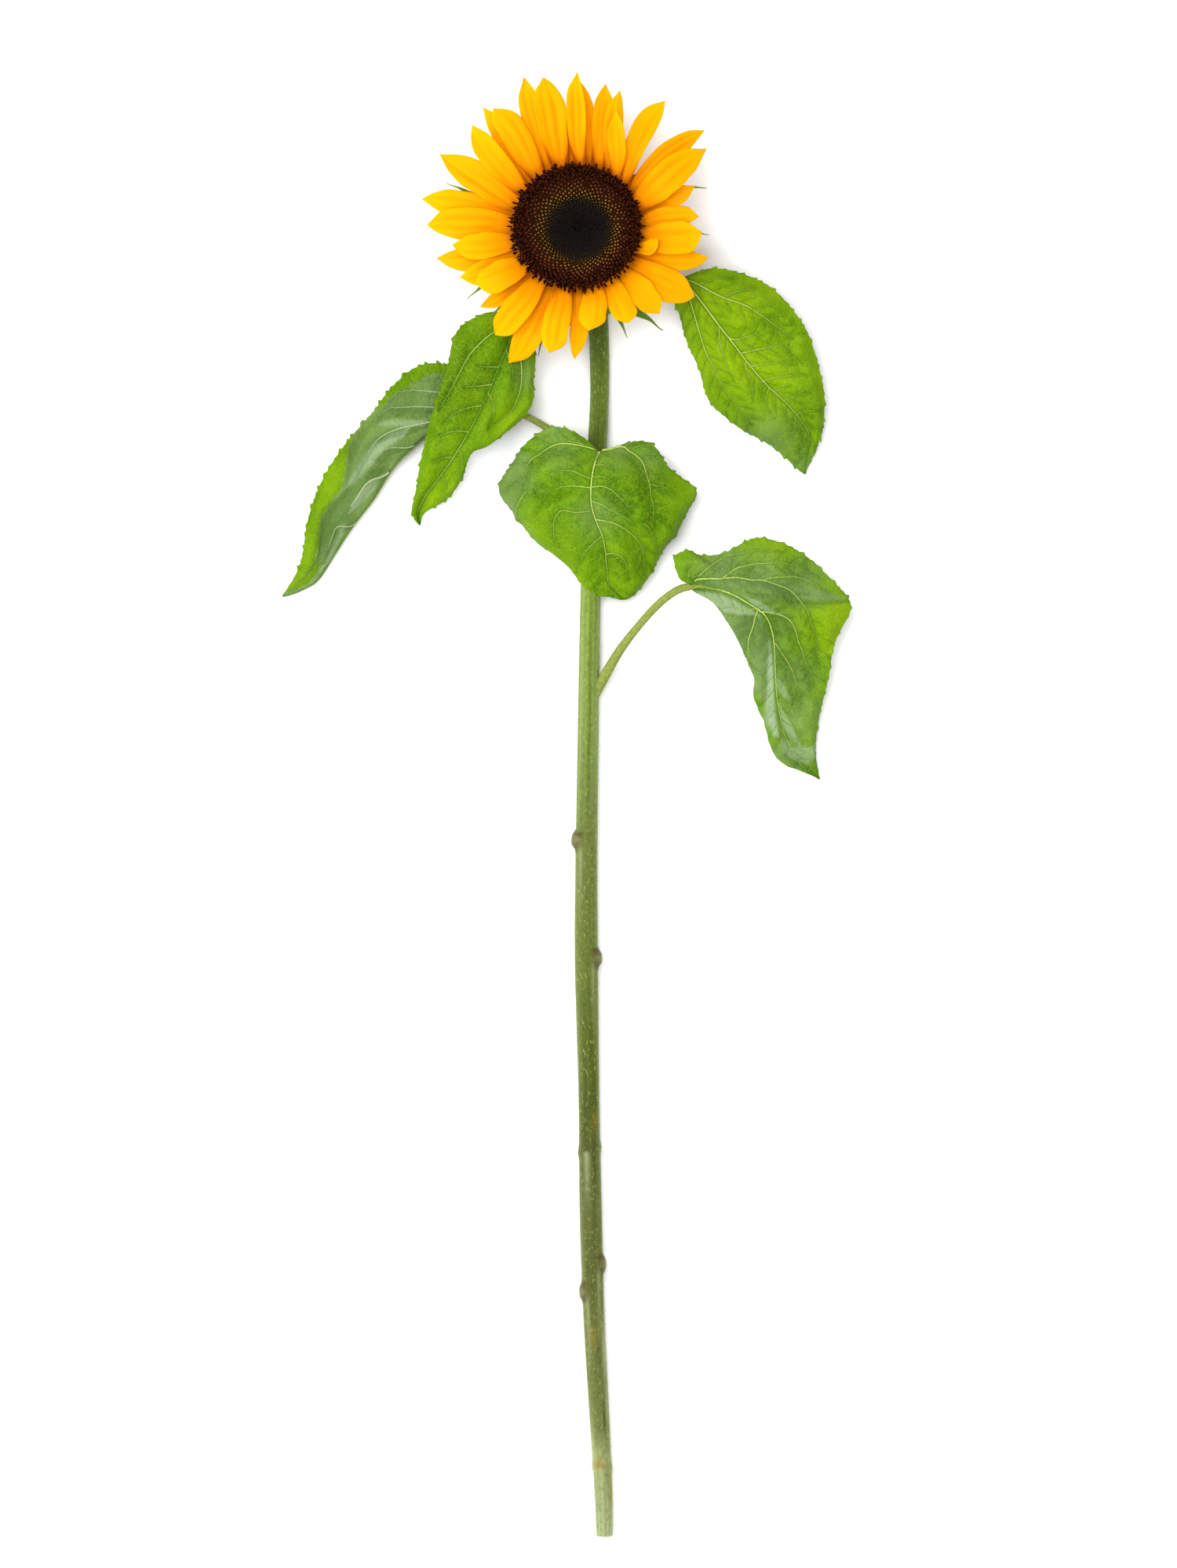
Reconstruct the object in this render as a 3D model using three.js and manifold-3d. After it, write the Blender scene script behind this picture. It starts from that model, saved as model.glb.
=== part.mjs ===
// A cut sunflower lying on a flat surface with its face up: one stem with a bent neck, a fleshy
// receptacle, two zones of disc florets, a double whorl of ray florets, a whorl of bracts, and five
// leaves on their petioles. Millimetres, +Z up, +Y from the cut end towards the flower head.
//
// Every piece is drawn around the axis of the flower head, X = Y = 0, above a surface at Z = 0.
// At the end the whole group is moved so that the middle of its footprint is the origin.

import * as THREE from 'three';
import { mergeVertices } from 'three/addons/utils/BufferGeometryUtils.js';
import Module from 'manifold-3d';

const wasm = await Module();
wasm.setup();

// ---------------------------------------------------------------- driving dimensions

const GAP = 0.3; // clearance between pieces that grow on one another

const DISC_RADIUS = 34.5; // outside of the open disc florets
const DISC_SQUASH = 0.96; // the head is a little shorter along the stem than across it
const BUD_RADIUS = 27.3; // outside of the closed disc florets
const DISC_BASE = 43.3; // underside of both zones of disc florets
const DISC_TOP = 48.5; // top of the open florets

const RECEPTACLE_RADIUS = 32;
const RECEPTACLE_BASE = 26; // where the neck ends
const RECEPTACLE_TOP = DISC_BASE - GAP;

const RAY_ROOT_RADIUS = 33.7; // where the ray florets leave the receptacle
const RAY_ROOT_HEIGHT = 41.6; // height of the front tier of ray florets at their roots
const RAY_THICKNESS = 0.8;
const TIER_STEP = 1.6; // each tier of ray florets lies this much lower than the one in front
const RISE_TOP = 3; // how far the rays rise before they fall away, on the side away from the stem
const RISE_STEM_SIDE = 7; // the same on the side of the stem
const RAY_SPAN = 45; // root to tip of a typical ray
const DROOP_TOP = 4; // fall of a ray tip on the side away from the stem
const DROOP_STEM_SIDE = 14; // fall of a ray tip on the side of the stem

const BRACT_ROOT_RADIUS = 24;
const BRACT_THICKNESS = 0.8;
const BRACT_WIDTH = 8.6;
const BRACT_DEPTH = 4 * TIER_STEP + 1.8; // bracts lie under the last tier of rays
const BRACT_SHOULDER = 34; // radius where a bract leaves the receptacle's side
const BRACT_ROOT_DROP = 5.6; // fall from that shoulder down to the bract's root

const LEAF_THICKNESS = 0.9;

// ---------------------------------------------------------------- fineness of the solids

const STEM_SIDES = 14;
const PETIOLE_SIDES = 8;
const HEAD_SIDES = 32; // around the receptacle and the disc
const FLORET_LENGTH_STEPS = 7; // along a ray or a bract
const FLORET_WIDTH_STEPS = 2; // across it
const LEAF_LENGTH_STEPS = 20;
const LEAF_WIDTH_STEPS = 6;

// ---------------------------------------------------------------- materials

function surface(color, roughness) {
  return new THREE.MeshStandardMaterial({ color, roughness, metalness: 0 });
}

const STEM_GREEN = surface(0x84983f, 0.6);
const RECEPTACLE_GREEN = surface(0x6f8f3a, 0.65);
const BUD_BROWN = surface(0x2b1a10, 0.85);
const FLORET_MAROON = surface(0x4a1f12, 0.9);
const RAY_YELLOW = surface(0xf9bb06, 0.5);
const BRACT_GREEN = surface(0x5c8a2c, 0.6);
const LEAF_GREEN = surface(0x4f9420, 0.45);

// ---------------------------------------------------------------- solids from rings

// A closed solid through rings of equal point counts. Each end is closed by a fan to its middle.
function loft(rings) {
  const sides = rings[0].length;
  const points = rings.flat();
  const triangles = [];
  for (let ring = 0; ring < rings.length - 1; ring += 1) {
    for (let side = 0; side < sides; side += 1) {
      const next = (side + 1) % sides;
      const a = ring * sides + side;
      const b = ring * sides + next;
      triangles.push(a, b, a + sides, b, b + sides, a + sides);
    }
  }
  for (const end of [0, rings.length - 1]) {
    const middle = points.length;
    const total = rings[end].reduce((sum, point) => sum.add(point), new THREE.Vector3());
    points.push(total.divideScalar(sides));
    for (let side = 0; side < sides; side += 1) {
      const a = end * sides + side;
      const b = end * sides + ((side + 1) % sides);
      triangles.push(...(end === 0 ? [middle, b, a] : [middle, a, b]));
    }
  }
  const geometry = new THREE.BufferGeometry().setFromPoints(points);
  geometry.setIndex(triangles);
  return enclosedVolume(geometry) < 0 ? turnedInsideOut(geometry) : geometry;
}

function enclosedVolume(geometry) {
  const positions = geometry.getAttribute('position');
  const index = geometry.getIndex();
  const [a, b, c] = [new THREE.Vector3(), new THREE.Vector3(), new THREE.Vector3()];
  let volume = 0;
  for (let i = 0; i < index.count; i += 3) {
    a.fromBufferAttribute(positions, index.getX(i));
    b.fromBufferAttribute(positions, index.getX(i + 1));
    c.fromBufferAttribute(positions, index.getX(i + 2));
    volume += a.dot(b.cross(c)) / 6;
  }
  return volume;
}

function turnedInsideOut(geometry) {
  geometry.setIndex(Array.from(geometry.getIndex().array).reverse());
  return geometry;
}

// A thin blade of even thickness on both sides of the surface sheet(along, across), where along
// runs 0 to 1 from root to tip and across runs -1 to 1 from the left edge to the right edge.
function blade(sheet, lengthSteps, widthSteps, thickness) {
  const nudge = 1e-3;
  const rings = [];
  for (let row = 0; row <= lengthSteps; row += 1) {
    const along = row / lengthSteps;
    const upper = [];
    const lower = [];
    for (let column = 0; column <= widthSteps; column += 1) {
      const across = (2 * column) / widthSteps - 1;
      const before = Math.max(along - nudge, 0);
      const after = Math.min(along + nudge, 1);
      const lengthwise = sheet(after, across).sub(sheet(before, across));
      const sideways = sheet(along, across + nudge).sub(sheet(along, across - nudge));
      const normal = sideways.cross(lengthwise).normalize().multiplyScalar(thickness / 2);
      const middle = sheet(along, across);
      upper.push(middle.clone().add(normal));
      lower.unshift(middle.clone().sub(normal));
    }
    rings.push([...upper, ...lower]);
  }
  return loft(rings);
}

// A tube along a curve whose radius at each ring comes from radiusAt(along, angle).
function tube(curve, steps, sides, radiusAt) {
  const frames = curve.computeFrenetFrames(steps, false);
  const rings = [];
  for (let ring = 0; ring <= steps; ring += 1) {
    const centre = curve.getPointAt(ring / steps);
    const points = [];
    for (let side = 0; side < sides; side += 1) {
      const angle = (2 * Math.PI * side) / sides;
      const radius = radiusAt(ring / steps, angle);
      const across = frames.normals[ring].clone().multiplyScalar(radius * Math.cos(angle));
      const upward = frames.binormals[ring].clone().multiplyScalar(radius * Math.sin(angle));
      points.push(centre.clone().add(across).add(upward));
    }
    rings.push(points);
  }
  return loft(rings);
}

// ---------------------------------------------------------------- joining and cutting

function toSolid(geometry) {
  const bare = geometry.clone();
  bare.deleteAttribute('normal');
  bare.deleteAttribute('uv');
  const merged = mergeVertices(bare, 1e-4);
  const vertProperties = new Float32Array(merged.getAttribute('position').array);
  const triVerts = new Uint32Array(merged.getIndex().array);
  return new wasm.Manifold(new wasm.Mesh({ numProp: 3, vertProperties, triVerts }));
}

function toGeometry(solid) {
  const { vertProperties, triVerts } = solid.getMesh();
  const geometry = new THREE.BufferGeometry();
  geometry.setAttribute('position', new THREE.BufferAttribute(vertProperties, 3));
  geometry.setIndex(new THREE.BufferAttribute(triVerts, 1));
  return geometry;
}

// ---------------------------------------------------------------- small helpers

function points(rows) {
  return rows.map(([x, y, z]) => new THREE.Vector3(x, y, z));
}

function smoothLine(rows) {
  return new THREE.CatmullRomCurve3(points(rows), false, 'catmullrom', 0.5);
}

function polar(radius, degrees) {
  const angle = THREE.MathUtils.degToRad(degrees);
  return new THREE.Vector2(radius * Math.cos(angle), radius * Math.sin(angle));
}

function numbered(stem, number) {
  return `${stem}_${String(number).padStart(2, '0')}`;
}

// ---------------------------------------------------------------- stem

// Centre line: x, y and radius. The stem lies on the surface, so its centre is one radius up.
const STEM_LINE = [
  [14.2, -666.4, 4.1], [13.6, -643.6, 4.6], [11.6, -607.6, 5.0], [9.0, -560, 5.5],
  [7.4, -510, 5.7], [6.5, -465, 5.3], [6.0, -430, 5.4], [5.0, -375, 5.9], [4.9, -330, 5.7],
  [5.6, -270, 5.4], [6.4, -215, 5.2], [7.6, -165, 5.0], [9.6, -125, 4.8], [11.4, -90, 4.7],
  [11.6, -68, 4.9],
];
// The neck bends up to the back of the head: x, y, z and radius.
const NECK_LINE = [
  [10.9, -46, 5.6, 5.2], [9.6, -30, 7.2, 5.4], [7, -16, 11.2, 5.8], [4, -6.5, 16.4, 6.2],
  [2.4, -2.4, 21, 6.8], [2.4, -2.4, RECEPTACLE_BASE - GAP, 7.6],
];
// Scars of fallen leaves: y, side of the stem (-1 left, 1 right), height of the scar.
const LEAF_SCARS = [[-312, -1, 1.3], [-372, 1, 1.1], [-528, 1, 1.2], [-542, -1, 1.2]];
const SCAR_LENGTH = 5;

const STEM_STATIONS = [
  ...STEM_LINE.map(([x, y, radius]) => [x, y, radius, radius]),
  ...NECK_LINE,
];

function stemRings(extra) {
  const line = smoothLine(STEM_STATIONS.map(([x, y, z]) => [x, y, z]));
  const radii = smoothLine(STEM_STATIONS.map(([, , , radius]) => [radius, 0, 0]));
  const stations = stemParameters(line);
  return stations.map((along) => {
    const centre = line.getPoint(along);
    const tangent = line.getTangent(along);
    const right = new THREE.Vector3(tangent.y, -tangent.x, 0).normalize();
    const upward = right.clone().cross(tangent).normalize();
    const radius = radii.getPoint(along).x + extra;
    const ring = [];
    for (let side = 0; side < STEM_SIDES; side += 1) {
      const angle = (2 * Math.PI * side) / STEM_SIDES;
      const reach = radius + scarHeight(centre.y, Math.cos(angle));
      const sideways = right.clone().multiplyScalar(reach * Math.cos(angle));
      ring.push(centre.clone().add(sideways).addScaledVector(upward, radius * Math.sin(angle)));
    }
    return ring;
  });
}

// Places along the stem's line: two for each station, and three more around each leaf scar.
function stemParameters(line) {
  const spans = STEM_STATIONS.length - 1;
  const places = Array.from({ length: 2 * spans + 1 }, (_, i) => i / (2 * spans));
  for (const [y] of LEAF_SCARS) {
    const middle = parameterAt(line, y);
    const step = parameterAt(line, y + SCAR_LENGTH) - middle;
    places.push(middle - step, middle, middle + step);
  }
  return places.sort((a, b) => a - b).filter((place, i, all) => i === 0 || place - all[i - 1] > 1e-3);
}

// The parameter where the stem's line passes a given y, found by halving.
function parameterAt(line, y) {
  let low = 0;
  let high = 1;
  for (let i = 0; i < 30; i += 1) {
    const middle = (low + high) / 2;
    if (line.getPoint(middle).y < y) low = middle;
    else high = middle;
  }
  return low;
}

function scarHeight(y, sideways) {
  return LEAF_SCARS.reduce((height, [scarY, side, bump]) => {
    const facing = Math.max(0, sideways * side) ** 3;
    return height + bump * facing * Math.exp(-(((y - scarY) / SCAR_LENGTH) ** 2) * 2);
  }, 0);
}

// ---------------------------------------------------------------- receptacle and disc

// A turned solid about the head's axis, squashed a little along the stem.
function turned(profile) {
  const outline = profile.map(([radius, height]) => new THREE.Vector2(radius, height));
  const geometry = new THREE.LatheGeometry(outline, HEAD_SIDES);
  geometry.rotateX(Math.PI / 2);
  geometry.scale(1, DISC_SQUASH, 1);
  geometry.deleteAttribute('normal');
  geometry.deleteAttribute('uv');
  const closed = toGeometry(toSolid(withoutSlivers(mergeVertices(geometry, 1e-4))));
  return enclosedVolume(closed) < 0 ? turnedInsideOut(closed) : closed;
}

// A turned profile that meets its axis leaves triangles with two equal corners there.
function withoutSlivers(geometry) {
  const corners = Array.from(geometry.getIndex().array);
  const kept = [];
  for (let i = 0; i < corners.length; i += 3) {
    const [a, b, c] = corners.slice(i, i + 3);
    if (a !== b && b !== c && c !== a) kept.push(a, b, c);
  }
  geometry.setIndex(kept);
  return enclosedVolume(geometry) < 0 ? turnedInsideOut(geometry) : geometry;
}

function receptacle() {
  return turned([
    [0, RECEPTACLE_BASE], [8, RECEPTACLE_BASE], [14, 27.2], [20, 29.2], [26, 32.4], [30, 36],
    [RECEPTACLE_RADIUS, 40], [RECEPTACLE_RADIUS, RECEPTACLE_TOP], [0, RECEPTACLE_TOP],
  ]);
}

function discBuds() {
  return turned([
    [0, DISC_BASE], [BUD_RADIUS, DISC_BASE], [BUD_RADIUS, 46.8], [23, 47.6], [17, 47.4],
    [9, 46.6], [0, 46.2],
  ]);
}

function discOpenFlorets() {
  const inner = BUD_RADIUS + GAP;
  return turned([
    [inner, DISC_BASE], [DISC_RADIUS - 1, DISC_BASE], [DISC_RADIUS, 45.4], [33, DISC_TOP],
    [29, DISC_TOP - 0.4], [inner, 47], [inner, DISC_BASE],
  ]);
}

// ---------------------------------------------------------------- ray florets

// Each ray: bearing of its root around the head in degrees, middle of its spine, tip, full width,
// and tier, where tier 0 lies in front. They go clockwise from the side away from the stem.
const RAYS = [
  [86, [-0.5, 55], [-0.7, 78], 10.5, 0],
  [79, [4.8, 54], [3, 74], 8, 3],
  [69, [13, 52], [15.5, 72], 11, 2],
  [58, [19.2, 50], [20.5, 68.8], 10, 1],
  [50, [20.8, 43], [19.3, 58], 9, 0],
  [42, [31, 44], [44.2, 64], 12, 1],
  [33, [46, 37], [64.5, 49.6], 12, 2],
  [20, [46, 24.5], [65, 40], 15, 0],
  [10, [47, 13.5], [60, 19.6], 9, 3],
  [2, [48, 5], [62, 5.6], 11, 2],
  [350, [49, -7], [63.6, -3.6], 16, 1],
  [338, [36, -11], [42, -8], 7, 0],
  [333, [50, -17], [67, -17.5], 10.5, 4],
  [324, [43.5, -29], [60, -34.6], 15.5, 3],
  [312, [33, -34], [42.5, -43.8], 13, 2],
  [301, [22.5, -39], [26, -50], 13, 1],
  [288, [8.8, -42.5], [8, -53.5], 15, 0],
  [271, [0.8, -51], [0.5, -67.5], 9.5, 2],
  [259, [-9.5, -50], [-13, -64.5], 14, 0],
  [248, [-23, -52], [-34, -69.5], 14.5, 3],
  [236, [-30, -42], [-41, -55.5], 15.5, 1],
  [226, [-35, -33], [-48.3, -42], 9, 3],
  [217, [-38, -25.5], [-50, -29.5], 14.5, 0],
  [208, [-44, -22], [-59, -26.5], 12, 2],
  [203, [-52, -16], [-71, -17.5], 12.5, 4],
  [195, [-48, -11], [-62.5, -8.5], 14, 1],
  [180, [-56, 2.5], [-76, 2], 16, 2],
  [170, [-57, 12], [-78.5, 13], 13, 3],
  [160, [-48, 22], [-69, 37], 14.5, 1],
  [145, [-40, 36], [-53, 51.5], 12.5, 0],
  [136, [-36, 43], [-48, 60], 10, 2],
  [127, [-31, 45], [-41, 60.6], 14.5, 1],
  [116, [-21, 53], [-28.5, 75], 12, 2],
  [106, [-13, 54], [-18.5, 75], 15.5, 1],
  [95, [-4.5, 46], [-5.5, 58], 6, 3],
];
const RAY_ROOT_SHARE = 0.42; // width at the root over full width
const RAY_TIP_SHARE = 0.05; // width at the very tip over full width
const RAY_WIDEST = 0.5; // where along its length a ray is widest

// Half width of a ray over its half full width: a narrow root, a long belly and a pointed tip.
function rayOutline(along) {
  if (along < RAY_WIDEST) {
    const swell = Math.sin((Math.PI / 2) * (along / RAY_WIDEST));
    return RAY_ROOT_SHARE + (1 - RAY_ROOT_SHARE) * swell;
  }
  const fall = (along - RAY_WIDEST) / (1 - RAY_WIDEST);
  return RAY_TIP_SHARE + (1 - RAY_TIP_SHARE) * Math.cos((Math.PI / 2) * fall ** 1.4);
}

// Height of the whorl over a point of the plan: a shallow rise, then a fall that is deeper on the
// side of the stem. All tiers share it, so that they stay parallel and never cross.
function whorlHeight(x, y, depth) {
  const radius = Math.hypot(x, y);
  const out = (radius - RAY_ROOT_RADIUS) / RAY_SPAN;
  const towardsStem = (1 - y / radius) / 2;
  const droop = THREE.MathUtils.lerp(DROOP_TOP, DROOP_STEM_SIDE, towardsStem);
  const rise = THREE.MathUtils.lerp(RISE_TOP, RISE_STEM_SIDE, towardsStem);
  const hump = Math.sin(Math.PI * THREE.MathUtils.clamp(out, 0, 1));
  return RAY_ROOT_HEIGHT - depth + rise * hump - droop * out * Math.abs(out);
}

// The sheet of a blade on the head, along a curve in plan from its root by way of its middle.
function headBlade(root, middle, tip, halfWidth, heightAt) {
  const bend = middle.clone().multiplyScalar(2).sub(root.clone().add(tip).divideScalar(2));
  const spine = new THREE.QuadraticBezierCurve(root, bend, tip);
  return (along, across) => {
    const centre = spine.getPoint(along);
    const heading = spine.getTangent(along);
    const x = centre.x + heading.y * across * halfWidth(along);
    const y = centre.y - heading.x * across * halfWidth(along);
    return new THREE.Vector3(x, y, heightAt(x, y));
  };
}

function floret(sheet, thickness) {
  return blade(sheet, FLORET_LENGTH_STEPS, FLORET_WIDTH_STEPS, thickness);
}

function ray([bearing, middle, tip, width, tier]) {
  const root = polar(RAY_ROOT_RADIUS, bearing);
  root.y *= DISC_SQUASH;
  const [spineMiddle, spineTip] = [middle, tip].map((point) => new THREE.Vector2(...point));
  const halfWidth = (along) => (width / 2) * rayOutline(along);
  const heightAt = (x, y) => whorlHeight(x, y, tier * TIER_STEP);
  return floret(headBlade(root, spineMiddle, spineTip, halfWidth, heightAt), RAY_THICKNESS);
}

// ---------------------------------------------------------------- bracts

// Each bract: bearing of its root around the head in degrees, bearing and reach of its tip.
const BRACTS = [
  [82, 84, 63.5], [60, 58, 58], [38, 41, 54], [17, 17, 69], [356, 358, 67], [335, 333, 58],
  [314, 312, 67], [293, 295, 62], [271, 269, 56], [251, 254, 68.5], [230, 225, 63],
  [209, 215, 66], [187, 186, 58], [164, 160, 69], [137, 138, 60], [109, 108, 60],
];
const BRACT_WIDEST = 0.32; // where along its length a bract is widest
const BRACT_ROOT_SHARE = 0.78; // width at the root over full width
const BRACT_TIP_SHARE = 0.08; // width at the very tip over full width

// Half width of a bract over its half full width: a broad base drawn out to a long fine point.
function bractOutline(along) {
  if (along < BRACT_WIDEST) {
    const swell = Math.sin((Math.PI / 2) * (along / BRACT_WIDEST));
    return BRACT_ROOT_SHARE + (1 - BRACT_ROOT_SHARE) * swell;
  }
  const fall = (along - BRACT_WIDEST) / (1 - BRACT_WIDEST);
  return BRACT_TIP_SHARE + (1 - BRACT_TIP_SHARE) * (1 - fall) ** 1.5;
}

function bractHeight(x, y) {
  const inward = Math.max(0, BRACT_SHOULDER - Math.hypot(x, y));
  const span = BRACT_SHOULDER - BRACT_ROOT_RADIUS;
  return whorlHeight(x, y, BRACT_DEPTH) - BRACT_ROOT_DROP * (inward / span) ** 2;
}

function bract([bearing, tipBearing, reach]) {
  const root = polar(BRACT_ROOT_RADIUS, bearing);
  const middle = polar((BRACT_ROOT_RADIUS + reach) / 2, bearing);
  const tip = polar(reach, tipBearing);
  const halfWidth = (along) => (BRACT_WIDTH / 2) * bractOutline(along);
  return floret(headBlade(root, middle, tip, halfWidth, bractHeight), BRACT_THICKNESS);
}

// ---------------------------------------------------------------- leaves

// A leaf's sheet is carried by three lines with matching stations from root to tip: its left
// edge, its midrib and its right edge. Across the leaf it follows the parabola through the three.
const LEAVES = {
  leaf_upper_right: {
    petiole: [[10.8, -44, 5.6], [20, -40, 8], [34, -33, 12], [46, -28.5, 15], [56, -28, 16.6]],
    petioleRadii: [2.6, 1.6],
    left: [
      [54, -25.5, 16.4], [62, -22.5, 18], [71, -21, 19], [83, -23.5, 19.5], [97, -29.5, 19],
      [108.5, -40.5, 17.5], [118, -55, 15.5], [125, -79, 12], [126, -95, 8.5],
      [123.5, -109, 5], [116.4, -125, 1.2],
    ],
    midrib: [
      [54, -27.2, 16.3], [58, -31, 16.6], [64, -38.5, 16.4], [72, -49.5, 15.6], [80, -59.5, 14.4],
      [88, -70, 12.8], [98, -81.5, 11], [107, -89.5, 9.2], [114.5, -98.5, 6.8],
      [118.5, -107, 4.2], [116, -125.5, 1],
    ],
    right: [
      [53.2, -29, 16.2], [50, -37, 13.5], [52.5, -46, 11], [58, -62, 8.5], [63, -75, 6.4],
      [69, -90, 4.6], [79, -98.5, 3.4], [93, -107.5, 2.4], [104, -114.5, 1.8],
      [110.5, -121, 1.3], [115.5, -125.2, 0.9],
    ],
  },
  leaf_upper_left: {
    petiole: [[11, -49, 5.6], [2, -48.5, 8], [-10, -47.5, 12], [-20, -46.5, 15.2], [-31, -48, 17]],
    petioleRadii: [2.6, 1.6],
    left: [
      [-27, -46, 17], [-23, -53, 17.5], [-21.5, -64, 17.5], [-21.5, -76, 17], [-22.5, -87, 16],
      [-28.5, -98.5, 15], [-41, -107.5, 14], [-52.5, -111.5, 14.5], [-58, -126, 11],
      [-67, -139.5, 7.5], [-77.5, -144.6, 5], [-79.6, -151.2, 4.2],
    ],
    midrib: [
      [-29, -46.3, 17], [-31, -51, 18], [-34.5, -59, 19], [-39, -70, 20], [-44, -82, 20.4],
      [-50, -95, 20.2], [-56, -106, 19.4], [-62, -116, 17.4], [-69, -126, 14.4],
      [-76.5, -136, 10.6], [-81, -145, 6.8], [-80, -151.5, 4.3],
    ],
    right: [
      [-31, -45.6, 17], [-42, -43, 17.5], [-55, -47.5, 17.8], [-62, -55.5, 18], [-65.5, -69, 18],
      [-70.5, -86, 17.6], [-76, -104, 16.8], [-79.5, -121, 14], [-82, -134, 11],
      [-84, -143.5, 7.6], [-83.6, -147.4, 6], [-80.4, -151.4, 4.4],
    ],
  },
  leaf_far_left: {
    petiole: [[7, -120, 5.4], [-2, -110.5, 6.4], [-15, -102, 7.6], [-26, -96, 8.6], [-38, -92.6, 9.2],
      [-52, -92, 9.4]],
    petioleRadii: [2.4, 1.7],
    left: [
      [-50, -90.4, 9.8], [-60, -81, 11.6], [-70, -74, 12.6], [-82, -79, 13.4], [-96, -88, 14.6],
      [-107, -98, 15], [-116, -112, 14.6], [-120, -133, 13], [-130, -148, 10.4],
      [-132.5, -166, 7.4], [-138, -177, 4.4], [-149.4, -187, 1.5],
    ],
    midrib: [
      [-49, -91.4, 9.3], [-57, -94.5, 8.8], [-67, -99.5, 8], [-77, -105, 7.2], [-88, -115, 6.4],
      [-97, -126, 5.6], [-105, -139, 5], [-115, -153, 4.2], [-125, -168, 3.2],
      [-133, -180, 2.2], [-141, -185, 1.5], [-150, -187.6, 0.9],
    ],
    right: [
      [-50, -90.2, 8.6], [-58, -76, 5], [-68, -69.5, 3.4], [-82, -71, 2.4], [-95, -82, 1.9],
      [-105, -95.5, 1.6], [-117, -109, 1.3], [-130, -129, 1.1], [-137, -149, 1],
      [-140, -168, 0.9], [-144, -178, 0.8], [-149.8, -186.8, 0.6],
    ],
  },
  leaf_centre: {
    petiole: [[8.4, -146, 7], [8.8, -138, 13], [10, -128, 18], [11.4, -119.5, 21.6], [11.4, -113, 24]],
    petioleRadii: [2.4, 1.8],
    left: [
      [12.4, -113.6, 24.4], [19, -112.6, 24.6], [30, -109, 23.8], [38.5, -111, 21.6],
      [46, -121, 18.6], [53, -127.5, 15.4], [61.5, -136, 11], [53.5, -149.5, 10], [46, -162, 9],
      [37.5, -175, 8], [29.5, -187, 7.6], [25, -189.6, 7.6],
    ],
    midrib: [
      [11.6, -114.4, 24.6], [10.4, -117.5, 26], [9, -121, 27.2], [7.8, -127, 28], [7.2, -134, 28],
      [7.6, -142, 27], [10, -150, 25], [13, -157, 22.4], [14.6, -165, 19], [15.3, -173, 15.4],
      [16.6, -182, 11.6], [23.6, -189.4, 7.8],
    ],
    right: [
      [10.8, -113.6, 24.2], [4, -107.6, 24], [-4, -103.4, 22], [-14, -101.8, 19.4],
      [-24, -109, 15], [-33, -119.5, 10.6], [-38.8, -132.5, 6.4], [-33.5, -145, 4.6],
      [-20, -159, 4], [-7, -170.5, 4.4], [6, -183.4, 5.2], [22, -189.6, 7.6],
    ],
  },
  leaf_lower_right: {
    petiole: [[7.5, -240, 5.4], [14.2, -228.5, 8], [21.5, -216, 13], [31, -203.5, 19],
      [42, -191.5, 24], [52, -184.4, 26.6], [61, -182.6, 27.6]],
    petioleRadii: [3, 2],
    left: [
      [56.4, -181, 27.4], [52, -178.4, 28], [50.6, -168.4, 29], [60, -165.2, 29.4],
      [75, -166, 28.6], [92, -158.4, 26.6], [112, -164.5, 24.6], [131, -181, 21.6],
      [139.5, -194, 18], [131, -212.5, 13.6], [127.5, -231, 9.6], [123.5, -250, 6],
      [121.6, -266, 3], [123.7, -280.4, 0.9],
    ],
    midrib: [
      [58, -182.6, 27.4], [64, -183, 28], [72, -184.5, 28.6], [80, -187.5, 28.8], [88, -192, 28],
      [95, -196.8, 26.4], [98.8, -204, 23.6], [100.3, -214, 19.4], [101, -227, 14.8],
      [102, -240, 10.8], [104.5, -253, 7.4], [109, -265, 4.6], [116, -273.6, 2.4],
      [124, -281, 0.8],
    ],
    right: [
      [58.4, -184.6, 27], [62, -186.6, 25.6], [66.5, -189, 24], [71, -192.5, 22], [76, -200, 19],
      [82, -210, 15.4], [87, -221, 12], [91.5, -232, 9.4], [96, -241, 7], [100, -252, 4.8],
      [102, -262, 3], [105.4, -270.6, 1.8], [113.6, -275, 1.2], [123.5, -280.8, 0.6],
    ],
  },
};

function leafSheet({ left, midrib, right }) {
  const [leftEdge, spine, rightEdge] = [left, midrib, right].map(smoothLine);
  return (along, across) => {
    const [a, middle, b] = [leftEdge, spine, rightEdge].map((line) => line.getPoint(along));
    const slope = b.clone().sub(a).divideScalar(2);
    const bulge = a.add(b).divideScalar(2).sub(middle);
    return middle.addScaledVector(slope, across).addScaledVector(bulge, across * across);
  };
}

function petiole(line, [rootRadius, tipRadius]) {
  const taper = (along) => THREE.MathUtils.lerp(rootRadius, tipRadius, Math.min(1, along * 2));
  return tube(smoothLine(line), 2 * line.length, PETIOLE_SIDES, taper);
}

function leaf(shape) {
  const sheet = blade(leafSheet(shape), LEAF_LENGTH_STEPS, LEAF_WIDTH_STEPS, LEAF_THICKNESS);
  const stalk = toSolid(petiole(shape.petiole, shape.petioleRadii));
  const stemRoom = toSolid(loft(stemRings(GAP)));
  return toGeometry(toSolid(sheet).add(stalk).subtract(stemRoom));
}

// ---------------------------------------------------------------- the flower

const flower = new THREE.Group();

function place(name, geometry, material) {
  const mesh = new THREE.Mesh(geometry, material);
  mesh.name = name;
  flower.add(mesh);
}

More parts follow.
